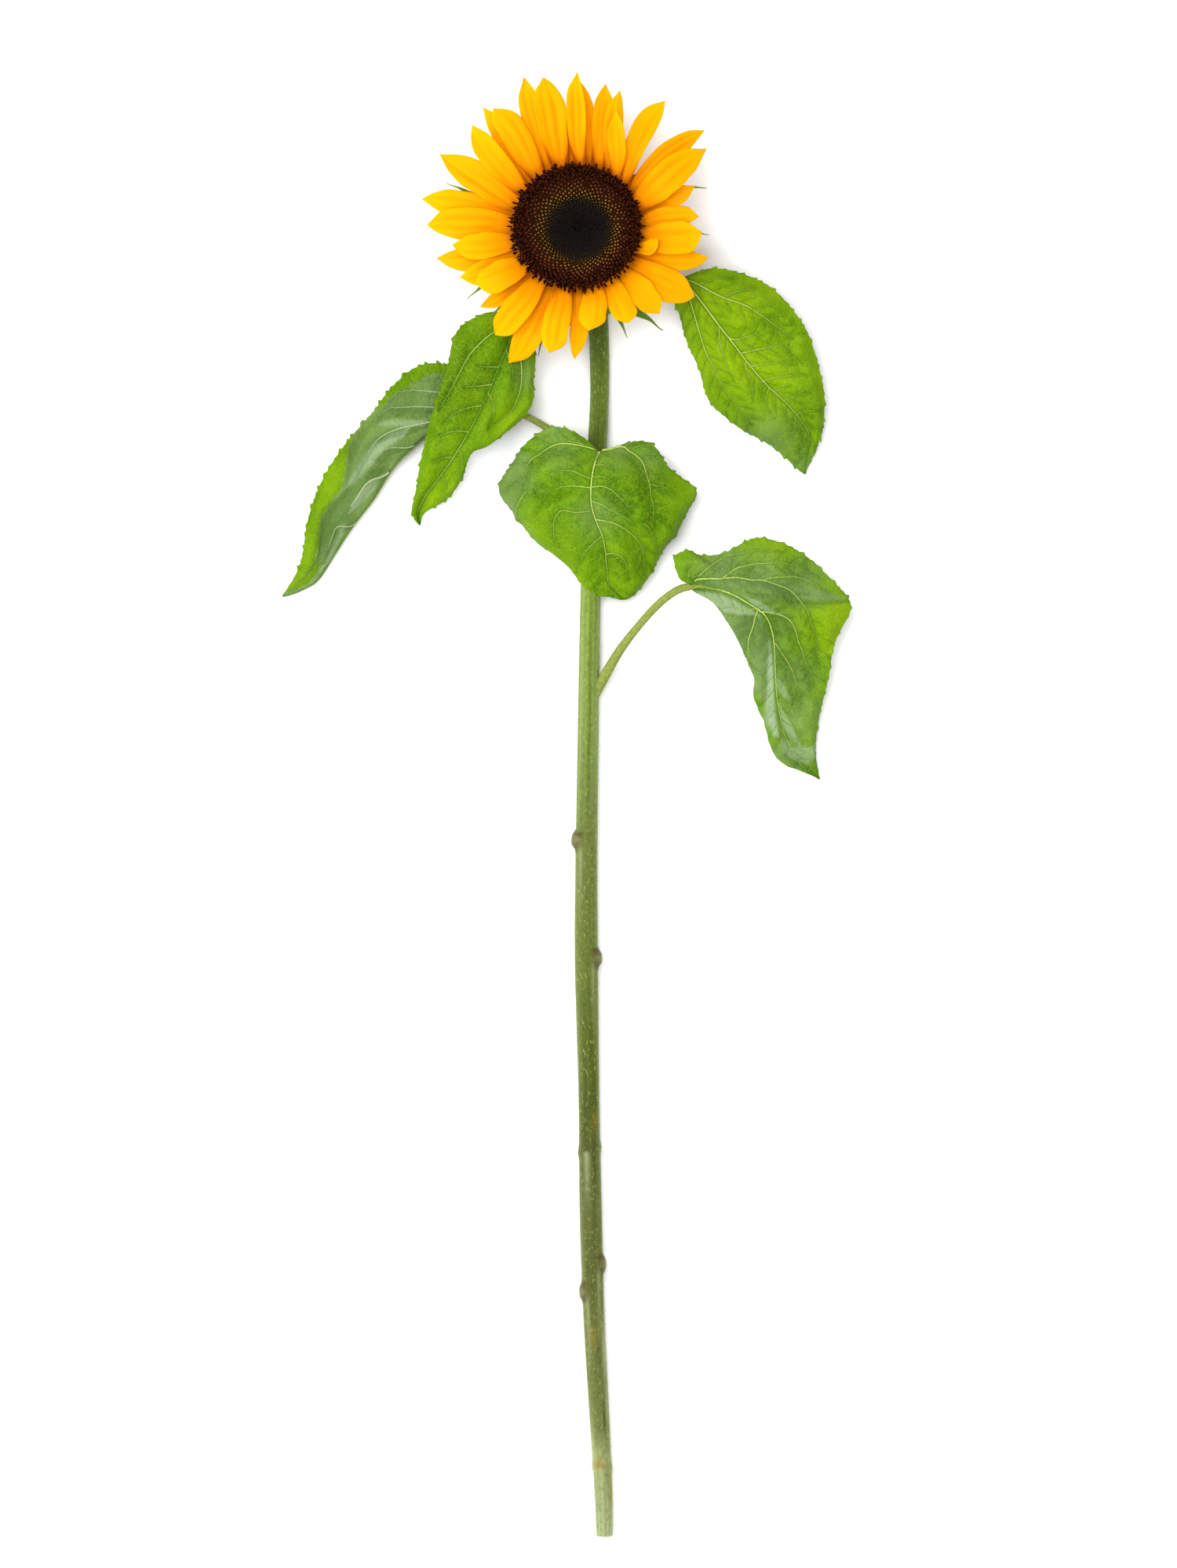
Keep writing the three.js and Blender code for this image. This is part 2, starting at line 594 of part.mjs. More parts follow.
place('stem', loft(stemRings(0)), STEM_GREEN);
place('receptacle', receptacle(), RECEPTACLE_GREEN);
place('disc_buds', discBuds(), BUD_BROWN);
place('disc_open_florets', discOpenFlorets(), FLORET_MAROON);
RAYS.forEach((shape, i) => place(numbered('ray', i + 1), ray(shape), RAY_YELLOW));
BRACTS.forEach((shape, i) => place(numbered('bract', i + 1), bract(shape), BRACT_GREEN));
Object.entries(LEAVES).forEach(([name, shape]) => place(name, leaf(shape), LEAF_GREEN));

const extent = new THREE.Box3().setFromObject(flower);
const middle = extent.getCenter(new THREE.Vector3());
flower.position.set(-middle.x, -middle.y, -extent.min.z);

export default flower;
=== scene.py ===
"""A cut sunflower lying face up on a pale surface.

Tables are in millimetres about the axis of the flower head, X = Y = 0, above the surface at Z = 0,
with +Y from the cut end of the stem towards the head. in_metres() moves them to the row frame.
"""

import bpy
import numpy as np
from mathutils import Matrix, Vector


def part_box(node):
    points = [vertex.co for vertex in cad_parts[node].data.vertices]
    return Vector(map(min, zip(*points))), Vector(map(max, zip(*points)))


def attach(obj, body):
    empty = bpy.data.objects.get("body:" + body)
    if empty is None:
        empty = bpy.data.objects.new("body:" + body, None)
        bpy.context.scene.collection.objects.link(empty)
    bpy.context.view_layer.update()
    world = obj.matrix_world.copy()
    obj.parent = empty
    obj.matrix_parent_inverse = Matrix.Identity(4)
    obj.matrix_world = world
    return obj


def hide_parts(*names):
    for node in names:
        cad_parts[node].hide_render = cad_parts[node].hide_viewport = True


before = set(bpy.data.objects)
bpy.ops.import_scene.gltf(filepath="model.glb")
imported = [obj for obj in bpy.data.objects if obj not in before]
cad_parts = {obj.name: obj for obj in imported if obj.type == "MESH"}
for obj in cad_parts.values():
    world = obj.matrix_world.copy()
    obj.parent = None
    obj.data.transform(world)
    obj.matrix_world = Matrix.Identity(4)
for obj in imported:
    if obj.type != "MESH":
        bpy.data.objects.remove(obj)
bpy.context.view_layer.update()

BODY = "root"
MM = 0.001
GOLDEN_ANGLE = np.pi * (3 - np.sqrt(5))
# Seeds of the random draws. Rays, bracts and leaves count on from theirs.
STEM_SEED, CUT_SEED, BUD_SEED, OPEN_SEED = 11, 5, 3, 4
RAY_SEED, BRACT_SEED, LEAF_SEED = 100, 300, 40

# ------------------------------------------------------------------ the head's own measures

DISC_RADIUS = 34.5
DISC_SQUASH = 0.96
BUD_RADIUS = 27.6
DISC_BASE = 43.3
RECEPTACLE_BASE = 26.0
RAY_ROOT_RADIUS = 33.7
RAY_ROOT_HEIGHT = 41.6
TIER_STEP = 1.6
RISE_TOP, RISE_STEM_SIDE = 3.0, 7.0
RAY_SPAN = 45.0
DROOP_TOP, DROOP_STEM_SIDE = 4.0, 14.0
BRACT_ROOT_RADIUS = 24.0
BRACT_DEPTH = 4 * TIER_STEP + 3.4
BRACT_SHOULDER = 34.0
BRACT_ROOT_DROP = 5.6
TURNED_SIDES = 96  # of the receptacle and of the disc's beds
RIPPLES = 16

HEAD_LOW, HEAD_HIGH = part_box("receptacle")
ORIGIN = np.array(
    [
        (HEAD_LOW.x + HEAD_HIGH.x) / 2 / MM,
        (HEAD_LOW.y + HEAD_HIGH.y) / 2 / MM,
        HEAD_LOW.z / MM - RECEPTACLE_BASE,
    ]
)


def in_metres(points):
    """Points in millimetres about the head's axis, as metres in the row frame."""
    return (np.asarray(points, float) + ORIGIN) * MM


# ------------------------------------------------------------------ lines and small formulas


def smooth_line(stations, along):
    """The uniform Catmull-Rom curve through the stations, read at shares 0 to 1 of their count.
    Between stations b and c, with a before and d after, it is half of
    2b + (c - a) s + (2a - 5b + 4c - d) s^2 + (3b - a - 3c + d) s^3."""
    p = np.asarray(stations, float)
    spans = len(p) - 1
    p = np.vstack([2 * p[0] - p[1], p, 2 * p[-1] - p[-2]])
    place = np.clip(along, 0, 1) * spans
    i = np.minimum(place.astype(int), spans - 1)
    s = (place - i)[..., None]
    a, b, c, d = p[i], p[i + 1], p[i + 2], p[i + 3]
    squared, cubed = 2 * a - 5 * b + 4 * c - d, 3 * b - a - 3 * c + d
    return 0.5 * (2 * b + (c - a) * s + squared * s**2 + cubed * s**3)


def lengths(line):
    """The length of a line up to each of its points."""
    return np.concatenate([[0], np.cumsum(np.linalg.norm(np.diff(line, axis=0), axis=1))])


def ease(value, low=0.0, high=1.0):
    """0 below low, 1 above high, and 3s^2 - 2s^3 between them."""
    s = np.clip((value - low) / (high - low), 0, 1)
    return s * s * (3 - 2 * s)


def read(table, place):
    """A table of (place, value) pairs, read between its places."""
    return np.interp(place, *np.transpose(table))


def bell(away, width=1.0):
    """exp(-(away / width)^2), 1 in the middle and falling smoothly on both sides of it."""
    return np.exp(-((away / width) ** 2))


def mix(a, b, share):
    """a where the share is 0 and b where it is 1."""
    return a + (b - a) * share


def unit(vectors):
    """The vectors at length 1."""
    length = np.linalg.norm(vectors, axis=-1, keepdims=True)
    return vectors / np.maximum(length, 1e-9)


def polar(radius, degrees):
    """The point of the plan at a radius and a bearing, which runs from +X towards +Y."""
    angle = np.radians(degrees)
    return np.array([radius * np.cos(angle), radius * np.sin(angle)])


def turn_angles(sides):
    """The angles of so many even places round a circle."""
    return 2 * np.pi * np.arange(sides) / sides


def circle(angle, radius=1.0, height=0.0):
    """Points at the angles round the Z axis, at a radius and a height."""
    return np.stack([radius * np.cos(angle), radius * np.sin(angle), height + 0 * angle], -1)


def soft_noise(rng, shape, waves, size):
    """A smooth random field over a grid of two parameters in 0..1, never over the given size: the
    mean of six cosines with random directions and phases and up to so many waves across."""
    rows, columns = shape
    u = np.linspace(0, 1, rows)[:, None]
    v = np.linspace(0, 1, columns)[None, :]
    field = np.zeros(shape)
    for _ in range(6):
        ku, kv = rng.uniform(-waves, waves, 2)
        field += np.cos(2 * np.pi * (ku * u + kv * v + rng.uniform()))
    return size * field / 6


# ------------------------------------------------------------------ surfaces


def surface(points, faces, uv=None, **values):
    """One surface: points, a list of face arrays (three, four or more corners), a UV pair and
    named values for each point."""
    points = np.asarray(points, float).reshape(-1, 3)
    if uv is None:
        uv = np.zeros((len(points), 2))
    full = {k: np.broadcast_to(np.asarray(v, float), (len(points),)) for k, v in values.items()}
    return {"points": points, "faces": faces, "uv": np.reshape(uv, (-1, 2)), "values": full}


def joined(surfaces):
    """Several surfaces as one. A value that one of them doesn't have is 0 there."""
    names = sorted({n for s in surfaces for n in s["values"]})
    faces, start = [], 0
    for s in surfaces:
        faces += [f + start for f in s["faces"]]
        start += len(s["points"])
    values = {
        n: np.concatenate([s["values"].get(n, np.zeros(len(s["points"]))) for s in surfaces])
        for n in names
    }
    points, uv = (np.vstack([s[key] for s in surfaces]) for key in ("points", "uv"))
    return {"points": points, "faces": faces, "uv": uv, "values": values}


def turned_out(s):
    """The same surface with its faces pointing out: their order is turned round if the volume that
    they enclose, the sum of a . (b x c) / 6 over their triangles, is below 0."""
    volume = 0.0
    middle = s["points"].mean(0)
    for f in s["faces"]:
        p = s["points"][f] - middle
        for k in range(1, f.shape[1] - 1):
            volume += np.einsum("ij,ij->i", p[:, 0], np.cross(p[:, k], p[:, k + 1])).sum()
    if volume < 0:
        s["faces"] = [f[:, ::-1] for f in s["faces"]]
    return s


def grid_faces(rows, columns, wrap=False):
    """Quads over a grid of points numbered row by row. With wrap the last column meets the first
    one."""
    i = np.arange(rows - 1)[:, None]
    j = np.arange(columns if wrap else columns - 1)[None, :]
    k = (j + 1) % columns
    corners = [i * columns + j, i * columns + k, (i + 1) * columns + k, (i + 1) * columns + j]
    return np.stack([np.broadcast_to(c, (rows - 1, j.size)) for c in corners], -1).reshape(-1, 4)


def fan(hub, first, sides, back=False):
    """Triangles from a hub point to each side of the ring of points that begins at first, taken
    the other way round with back."""
    near = first + np.arange(sides)
    far = first + (np.arange(sides) + 1) % sides
    return np.stack([np.full(sides, hub), *((far, near) if back else (near, far))], -1)


def shell(upper, lower, uv, **values):
    """A closed thin solid between two grids of points, rows from root to tip and columns from the
    left edge to the right. A band of quads joins the two round the rim. Each value is a pair of
    grids, one for the upper face and one for the lower."""
    rows, columns = upper.shape[:2]
    top = grid_faces(rows, columns)
    count = rows * columns
    number = np.arange(count).reshape(rows, columns)
    rim = np.concatenate([number[0, :-1], number[:-1, -1], number[-1, :0:-1], number[:0:-1, 0]])
    after = np.roll(rim, -1)
    band = np.stack([rim, rim + count, after + count, after], -1)
    points = np.concatenate([upper.reshape(-1, 3), lower.reshape(-1, 3)])
    pairs = np.concatenate([uv.reshape(-1, 2)] * 2)
    both = {k: np.concatenate([np.ravel(a), np.ravel(b)]) for k, (a, b) in values.items()}
    return turned_out(surface(points, [top, top[:, ::-1] + count, band], pairs, **both))


def pipe(centres, radii, sides, **values):
    """A closed tube: a ring round each centre, square to the line, with a fan to the middle at
    each end. The ring's first direction is level and its second is square to that and the line."""
    centres = np.asarray(centres, float)
    tangent = unit(np.gradient(centres, axis=0))
    across = unit(np.stack([tangent[:, 1], -tangent[:, 0], 1e-6 + 0 * tangent[:, 0]], -1))
    flat = np.hypot(tangent[:, 0], tangent[:, 1]) > 0.3
    last = np.maximum.accumulate(np.where(flat, np.arange(len(flat)), 0))
    across = across[last]
    upward = unit(np.cross(across, tangent))
    angle = turn_angles(sides)
    reach = np.broadcast_to(np.reshape(radii, (len(centres), -1)), (len(centres), sides))
    rings = (
        centres[:, None]
        + (reach * np.cos(angle))[..., None] * across[:, None]
        + (reach * np.sin(angle))[..., None] * upward[:, None]
    )
    count = len(centres) * sides
    side_faces = grid_faces(len(centres), sides, wrap=True)
    faces = [side_faces, fan(count, 0, sides, back=True), fan(count + 1, count - sides, sides)]
    points = np.vstack([rings.reshape(-1, 3), centres[0], centres[-1]])
    length = lengths(centres)
    turn = np.arange(sides)[None, :] / sides
    uv = np.stack(np.broadcast_arrays(turn, length[:, None]), -1).reshape(-1, 2)
    uv = np.vstack([uv, [0.5, length[0]], [0.5, length[-1]]])
    full = {}
    for key, value in values.items():
        value = np.asarray(value, float)
        rows = np.broadcast_to(value[:, None] if value.ndim == 1 else value, (len(centres), sides))
        full[key] = np.concatenate([rows.ravel(), rows[0, :1], rows[-1, :1]])
    return turned_out(surface(points, faces, uv, **full))


def turned(profile, closed, ripple=0.0, **values):
    """A profile of (radius, height) carried round the head's axis and squashed along the stem.
    It starts and ends on the axis, or closes on itself. The radius swells by ripple cos(16 t), once
    for each bract."""
    profile = np.asarray(profile, float)
    inner = profile if closed else profile[1:-1]
    sides = TURNED_SIDES
    angle = turn_angles(sides)
    swell = 1 + ripple * np.cos(RIPPLES * angle)
    rings = np.stack(
        [
            inner[:, :1] * swell * np.cos(angle),
            inner[:, :1] * swell * np.sin(angle) * DISC_SQUASH,
            np.broadcast_to(inner[:, 1:], (len(inner), sides)),
        ],
        -1,
    )
    if closed:
        faces = [grid_faces(len(inner) + 1, sides, wrap=True) % (len(inner) * sides)]
        return turned_out(surface(rings, faces, **values))
    count = len(inner) * sides
    side_faces = grid_faces(len(inner), sides, wrap=True)
    faces = [side_faces, fan(count, 0, sides), fan(count + 1, count - sides, sides, back=True)]
    poles = [[0, 0, profile[0, 1]], [0, 0, profile[-1, 1]]]
    return turned_out(surface(np.vstack([rings.reshape(-1, 3), poles]), faces, **values))


def repeated(template, places, turns, sizes, **values):
    """Copies of a small surface, each scaled, turned by its own 3x3 matrix and moved to its place.
    Each value is one number per copy."""
    count, each = len(places), len(template["points"])
    moved = np.einsum("nij,kj->nki", turns, template["points"]) * np.reshape(sizes, (count, 1, -1))
    points = (moved + places[:, None]).reshape(-1, 3)
    step = (np.arange(count) * each)[:, None, None]
    faces = [(f[None] + step).reshape(-1, f.shape[1]) for f in template["faces"]]
    full = {k: np.tile(v, count) for k, v in template["values"].items()}
    full.update({k: np.repeat(v, each) for k, v in values.items()})
    return surface(points, faces, np.tile(template["uv"], (count, 1)), **full)


def add_piece(name, made, material, nodes):
    """Puts a surface into the scene as a smooth mesh that rides on the root in place of nodes."""
    mesh = bpy.data.meshes.new(name)
    points = in_metres(made["points"]).astype(np.float32)
    corners = np.concatenate([f.ravel() for f in made["faces"]]).astype(np.int32)
    sizes = np.concatenate([np.full(len(f), f.shape[1]) for f in made["faces"]])
    starts = np.concatenate([[0], np.cumsum(sizes)[:-1]]).astype(np.int32)
    mesh.vertices.add(len(points))
    mesh.vertices.foreach_set("co", points.ravel())
    mesh.loops.add(len(corners))
    mesh.loops.foreach_set("vertex_index", corners)
    mesh.polygons.add(len(starts))
    mesh.polygons.foreach_set("loop_start", starts)
    mesh.polygons.foreach_set("use_smooth", np.ones(len(starts), bool))
    mesh.update(calc_edges=True)
    layer = mesh.uv_layers.new(name="UVMap")
    layer.data.foreach_set("uv", made["uv"][corners].astype(np.float32).ravel())
    for key, value in made["values"].items():
        attribute = mesh.attributes.new(key, "FLOAT", "POINT")
        attribute.data.foreach_set("value", value.astype(np.float32))
    mesh.validate()
    mesh.materials.append(material)
    piece = bpy.data.objects.new(name, mesh)
    bpy.context.scene.collection.objects.link(piece)
    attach(piece, BODY)
    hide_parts(*nodes)


# ------------------------------------------------------------------ materials


def colour(red, green, blue):
    """A display colour of 0 to 255 as the linear colour that the shader takes."""
    c = np.array([red, green, blue]) / 255
    linear = np.where(c <= 0.04045, c / 12.92, ((c + 0.055) / 1.055) ** 2.4)
    return tuple(float(x) for x in linear)


class Nodes:
    """A short way to write a material's nodes. A value is a number, a colour, a socket or the name
    of an attribute of the mesh. A tone is the three numbers of a display colour."""

    def __init__(self, name, roughness, specular):
        self.material = bpy.data.materials.new(name)
        self.material.use_nodes = True
        self.tree = self.material.node_tree
        self.shader = self.tree.nodes["Principled BSDF"]
        self.shader.inputs["Roughness"].default_value = roughness
        self.shader.inputs["Specular IOR Level"].default_value = specular
        coordinates = self.node("ShaderNodeTexCoord").outputs
        self.place, self.chart = coordinates["Object"], coordinates["UV"]

    def node(self, kind, inputs=(), **settings):
        """A new node with its settings, and with its inputs linked or set."""
        made = self.tree.nodes.new(kind)
        for key, value in settings.items():
            setattr(made, key, value)
        for key, value in dict(inputs).items():
            self.link(value, made.inputs[key])
        return made

    def link(self, value, socket):
        """Links an attribute or a socket to a node's input, or sets the input to a constant."""
        if isinstance(value, str):
            value = self.node("ShaderNodeAttribute", attribute_name=value).outputs["Fac"]
        if isinstance(value, bpy.types.NodeSocket):
            self.tree.links.new(value, socket)
        elif socket.type == "RGBA":
            socket.default_value = (*value, 1)
        else:
            socket.default_value = value

    def math(self, operation, a, b):
        """The result of one sum of two values."""
        return self.node("ShaderNodeMath", {0: a, 1: b}, operation=operation).outputs[0]

    def product(self, a, b):
        """a times b."""
        return self.math("MULTIPLY", a, b)

    def inverse(self, value):
        """1 less the value."""
        return self.math("SUBTRACT", 1.0, value)

    def blend(self, share, a, b):
        """a where the share is 0 and b where it is 1."""
        inputs = {0: share, 6: a, 7: b}
        made = self.node("ShaderNodeMix", inputs, data_type="RGBA", clamp_factor=True)
        return made.outputs[2]

    def coats(self, base, *layers):
        """The base under coats laid on one after the other, each with its share, how much of it
        covers and its tone."""
        for share, amount, *tone in layers:
            base = self.blend(self.product(share, amount), base, colour(*tone))
        return base

    def ramp(self, value, stops):
        """The value turned into a colour by stops, each a place and a linear colour."""
        made = self.node("ShaderNodeValToRGB", {0: value})
        elements = made.color_ramp.elements
        while len(elements) < len(stops):
            elements.new(0.5)
        for element, (place, shade) in zip(elements, stops):
            element.position = place
            element.color = (*shade, 1)
        return made.outputs["Color"]

    def tones(self, value, *stops):
        """A ramp whose stops are each a place and a tone."""
        return self.ramp(value, [(place, colour(*tone)) for place, *tone in stops])

    def rise(self, value, low, high):
        """A smooth rise from 0 at low to 1 at high."""
        inputs = {"Value": value, "From Min": low, "From Max": high}
        made = self.node("ShaderNodeMapRange", inputs, interpolation_type="SMOOTHSTEP")
        return made.outputs["Result"]

    def stretched(self, vector, scale):
        """The vector times a scale of its own along each axis."""
        inputs = {"Vector": vector, "Scale": scale}
        return self.node("ShaderNodeMapping", inputs).outputs["Vector"]

    def warped(self, vector, scale, amount):
        """The vector moved about by a noise of its own, up to half the amount each way."""
        wander = self.node("ShaderNodeTexNoise", {"Vector": vector, "Scale": scale})
        inputs = {0: wander.outputs["Color"], 1: (amount, amount, amount), 2: vector}
        made = self.node("ShaderNodeVectorMath", inputs, operation="MULTIPLY_ADD")
        return made.outputs["Vector"]

    def noise(self, vector, scale, detail, roughness=0.5):
        """A cloudy value of 0 to 1 with so many patches to the metre."""
        inputs = {"Vector": vector, "Scale": scale, "Detail": detail, "Roughness": roughness}
        return self.node("ShaderNodeTexNoise", inputs).outputs["Fac"]

    def cells(self, vector, scale):
        """The distance to the nearest edge between random cells."""
        inputs = {"Vector": vector, "Scale": scale}
        made = self.node("ShaderNodeTexVoronoi", inputs, feature="DISTANCE_TO_EDGE")
        return made.outputs["Distance"]

    def bump(self, height, depth):
        """Raises the surface by height, 0 to 1, times depth in metres, over the bumps before it."""
        inputs = {"Distance": depth, "Strength": 1.0, "Height": height}
        normal = self.shader.inputs["Normal"]
        if normal.links:
            inputs["Normal"] = normal.links[0].from_socket
        self.link(self.node("ShaderNodeBump", inputs).outputs["Normal"], normal)

    def finish(self, shade, roughness=None):
        """The material, with its colour and, where it varies, its roughness."""
        self.link(shade, self.shader.inputs["Base Color"])
        if roughness is not None:
            self.link(roughness, self.shader.inputs["Roughness"])
        return self.material


def leaf_material():
    """A leaf: mottled green above and greyish green below, pale veins, and a blade that swells
    softly between its small veins. Light and shade are painted on it as well: a sunnier green where
    it is lit, painted shade in its deep spots, beside the veins and in the hollows of its bumps, a
    painted highlight on the swells, and a painted greyish sheen and whitish highlights where it
    would mirror the light."""
    m = Nodes("leaf green", 0.5, 0.03)
    mottle = m.noise(m.place, 60, 5, 0.66)
    fine = m.noise(m.place, 620, 3, 0.65)
    swell = m.noise(m.warped(m.place, 160, 0.004), 170, 3, 0.55)
    quilt = m.rise(m.cells(m.warped(m.place, 260, 0.004), 330), 0.0, 0.4)
    above = m.tones(mottle, (0.32, 60, 102, 0), (0.5, 77, 119, 0), (0.68, 98, 138, 2))
    sunny = m.tones(mottle, (0.34, 98, 136, 0), (0.5, 119, 153, 1), (0.66, 134, 164, 4))
    below = m.tones(mottle, (0.32, 84, 108, 56), (0.68, 114, 137, 88))
    # The pale parts: the real underside, and the painted greyish sheen where the blade would mirror
    # the light.
    pale = m.math("MAXIMUM", "underside", "grey")
    sheet = m.blend(pale, m.blend(m.product("lit", 0.95), above, sunny), below)
    # Painted shade where the deep tints lie: darker green, and a darker greyish green on the pale
    # parts.
    sheet = m.blend("deep", sheet, m.blend(pale, colour(42, 78, 0), colour(70, 98, 42)))
    sheet = m.coats(
        sheet,
        # Painted shade in the low valleys beside the veins, and a painted highlight on the blade
        # swelling between them.
        (m.inverse("bulge"), 0.12, 52, 90, 4),
        ("bulge", 0.28, 126, 160, 12),
        # Painted shade in the hollows of the swell bump, and a painted highlight on its rises.
        (m.inverse(m.rise(swell, 0.36, 0.52)), 0.1, 46, 84, 4),
        (m.rise(swell, 0.5, 0.72), 0.1, 130, 160, 16),
        # Painted shade towards the low edges of the quilt cells; the pale net right at their edges
        # is the leaf's own colour.
        (m.inverse(quilt), 0.28, 50, 88, 2),
        (m.inverse(m.rise(quilt, 0.0, 0.12)), 0.26, 136, 164, 44),
        (m.rise(fine, 0.55, 0.75), 0.26, 124, 156, 8),
        # Painted shade along the veins, beside their pale ribs.
        ("vein", 0.7, 50, 86, 4),
    )
    sheet = m.blend(m.product(pale, 0.4), sheet, below)
    # Painted whitish highlights where the blade would mirror the light, then more painted shade on
    # the pale parts.
    sheet = m.coats(
        sheet, ("bloom", 1.0, 150, 168, 134), (m.product("deep", pale), 0.55, 66, 94, 44)
    )
    rib = m.tones(fine, (0.3, 156, 174, 72), (0.7, 186, 200, 110))
    rib = m.coats(rib, (pale, 0.75, 152, 168, 130))
    stalk = m.tones(fine, (0.3, 106, 120, 46), (0.7, 134, 144, 74))
    m.bump(swell, 0.0007)
    m.bump(quilt, 0.0002)
    m.bump(fine, 0.00008)
    roughness = m.math("ADD", 0.44, m.product(mottle, 0.16))
    return m.finish(m.blend("stalk", m.blend("rib", sheet, rib), stalk), roughness)


def ray_material():
    """A ray floret: golden yellow, orange towards its root, with soft streaks and faint lines along
    it, and painted shade: deeper orange in its valleys, on rays lying under others and at the
    edges of its root."""
    m = Nodes("ray yellow", 0.62, 0.02)
    lines = m.noise(m.stretched(m.chart, (2.0, 30.0, 1.0)), 1.0, 3, 0.6)
    broad = m.noise(m.stretched(m.chart, (1.6, 6.0, 1.0)), 1.0, 2, 0.5)
    wander = m.product(m.math("SUBTRACT", broad, 0.5), 0.34)
    body = m.tones(
        m.math("ADD", "along", wander),
        (0.0, 206, 108, 0),
        (0.12, 224, 131, 0),
        (0.3, 229, 145, 0),
        (0.65, 231, 155, 0),
        (1.0, 233, 167, 0),
    )
    m.bump(lines, 0.00012)
    return m.finish(
        m.coats(
            body,
            # A random hue of its own for each ray, plus painted shade on rays that lie under
            # others.
            ("warmth", 0.4, 226, 142, 0),
            (m.rise(broad, 0.5, 0.7), 0.3, 222, 134, 0),
            ("groove", 0.45, 212, 118, 0),
            # Painted shade: deeper orange in the valleys along the ray.
            (m.rise(lines, 0.5, 0.75), 0.28, 214, 120, 0),
            ("shade", 1.0, 150, 62, 0),
            ("underside", 0.4, 216, 146, 14),
        )
    )


def bract_material():
    """A bract: mid green, paler at its edges, with a soft down."""
    m = Nodes("bract green", 0.6, 0.14)
    body = m.tones(m.noise(m.place, 90, 3, 0.6), (0.3, 58, 92, 16), (0.7, 92, 120, 34))
    m.bump(m.noise(m.place, 900, 2, 0.6), 0.0001)
    return m.finish(m.coats(body, ("edge", 0.4, 126, 146, 76), ("tip", 0.7, 120, 118, 60)))


def receptacle_material():
    """The receptacle: a mottled green with a fine grain."""
    m = Nodes("receptacle green", 0.62, 0.14)
    m.bump(m.noise(m.place, 600, 3, 0.6), 0.0002)
    return m.finish(
        m.tones(m.noise(m.place, 70, 4, 0.6), (0.3, 72, 98, 36), (0.7, 108, 130, 60))
    )


# Tones along the stem, by y, from its cut end to the head.
STEM_START, STEM_END = -666.4, 0.0
STEM_TONES = [
    (-666, 152, 162, 118), (-645, 136, 144, 102), (-628, 138, 144, 96), (-612, 96, 102, 54),
    (-575, 88, 92, 44), (-540, 70, 72, 30), (-500, 76, 78, 36), (-484, 64, 62, 26),
    (-450, 54, 60, 8), (-410, 64, 74, 12), (-375, 84, 94, 34), (-330, 88, 98, 42),
    (-290, 94, 108, 44), (-250, 104, 126, 46), (-200, 112, 136, 48), (-160, 104, 130, 36),
    (-110, 82, 102, 18), (-80, 72, 92, 12), (-40, 64, 84, 10),
]


def stem_share(y):
    """How far along the stem a y lies, 0 at its cut end and 1 at the head."""
    return (y - STEM_START) / (STEM_END - STEM_START)


def stem_material():
    """The stem: olive green by the head, yellow-green along the middle and pale at the cut end,
    with painted shade in the grooves between its ribs, a painted sheen along both its sides, brown
    marks at its scars and pale hairs."""
    m = Nodes("stem green", 0.55, 0.12)
    streak = m.noise(m.stretched(m.place, (420.0, 14.0, 420.0)), 1.0, 4, 0.6)
    speck = m.noise(m.stretched(m.place, (900.0, 420.0, 900.0)), 1.0, 2, 0.6)
    fleck = m.noise(m.stretched(m.place, (560.0, 380.0, 560.0)), 1.0, 3, 0.7)
    pith = m.noise(m.place, 1500, 3, 0.7)
    skin = m.coats(
        m.tones("level", *[(stem_share(y), *tone) for y, *tone in STEM_TONES]),
        # Painted shade in the grooves between the ribs.
        ("groove", 0.4, 62, 78, 18),
        (m.rise(streak, 0.45, 0.75), 0.2, 128, 146, 60),
        # A painted sheen along both sides of the stem.
        ("flank", 0.4, 128, 146, 84),
        (m.rise(fleck, 0.5, 0.66), 0.35, 44, 54, 10),
        (m.rise(speck, 0.56, 0.7), 0.4, 148, 162, 76),
        ("dark", 1.0, 46, 56, 8),
        ("ochre", 1.0, 132, 112, 34),
        ("brown", 1.0, 62, 46, 14),
        ("pale", 1.0, 152, 160, 116),
        ("hair", 1.0, 146, 160, 100),
    )
    cut = m.tones(pith, (0.3, 160, 164, 116), (0.7, 200, 200, 164))
    m.shader.inputs["Sheen Weight"].default_value = 0.4
    m.shader.inputs["Sheen Roughness"].default_value = 0.35
    m.shader.inputs["Sheen Tint"].default_value = (0.8, 0.88, 0.6, 1)
    m.bump(streak, 0.0003)
    m.bump(m.noise(m.place, 1100, 2, 0.6), 0.00008)
    return m.finish(m.blend("cut", skin, cut))


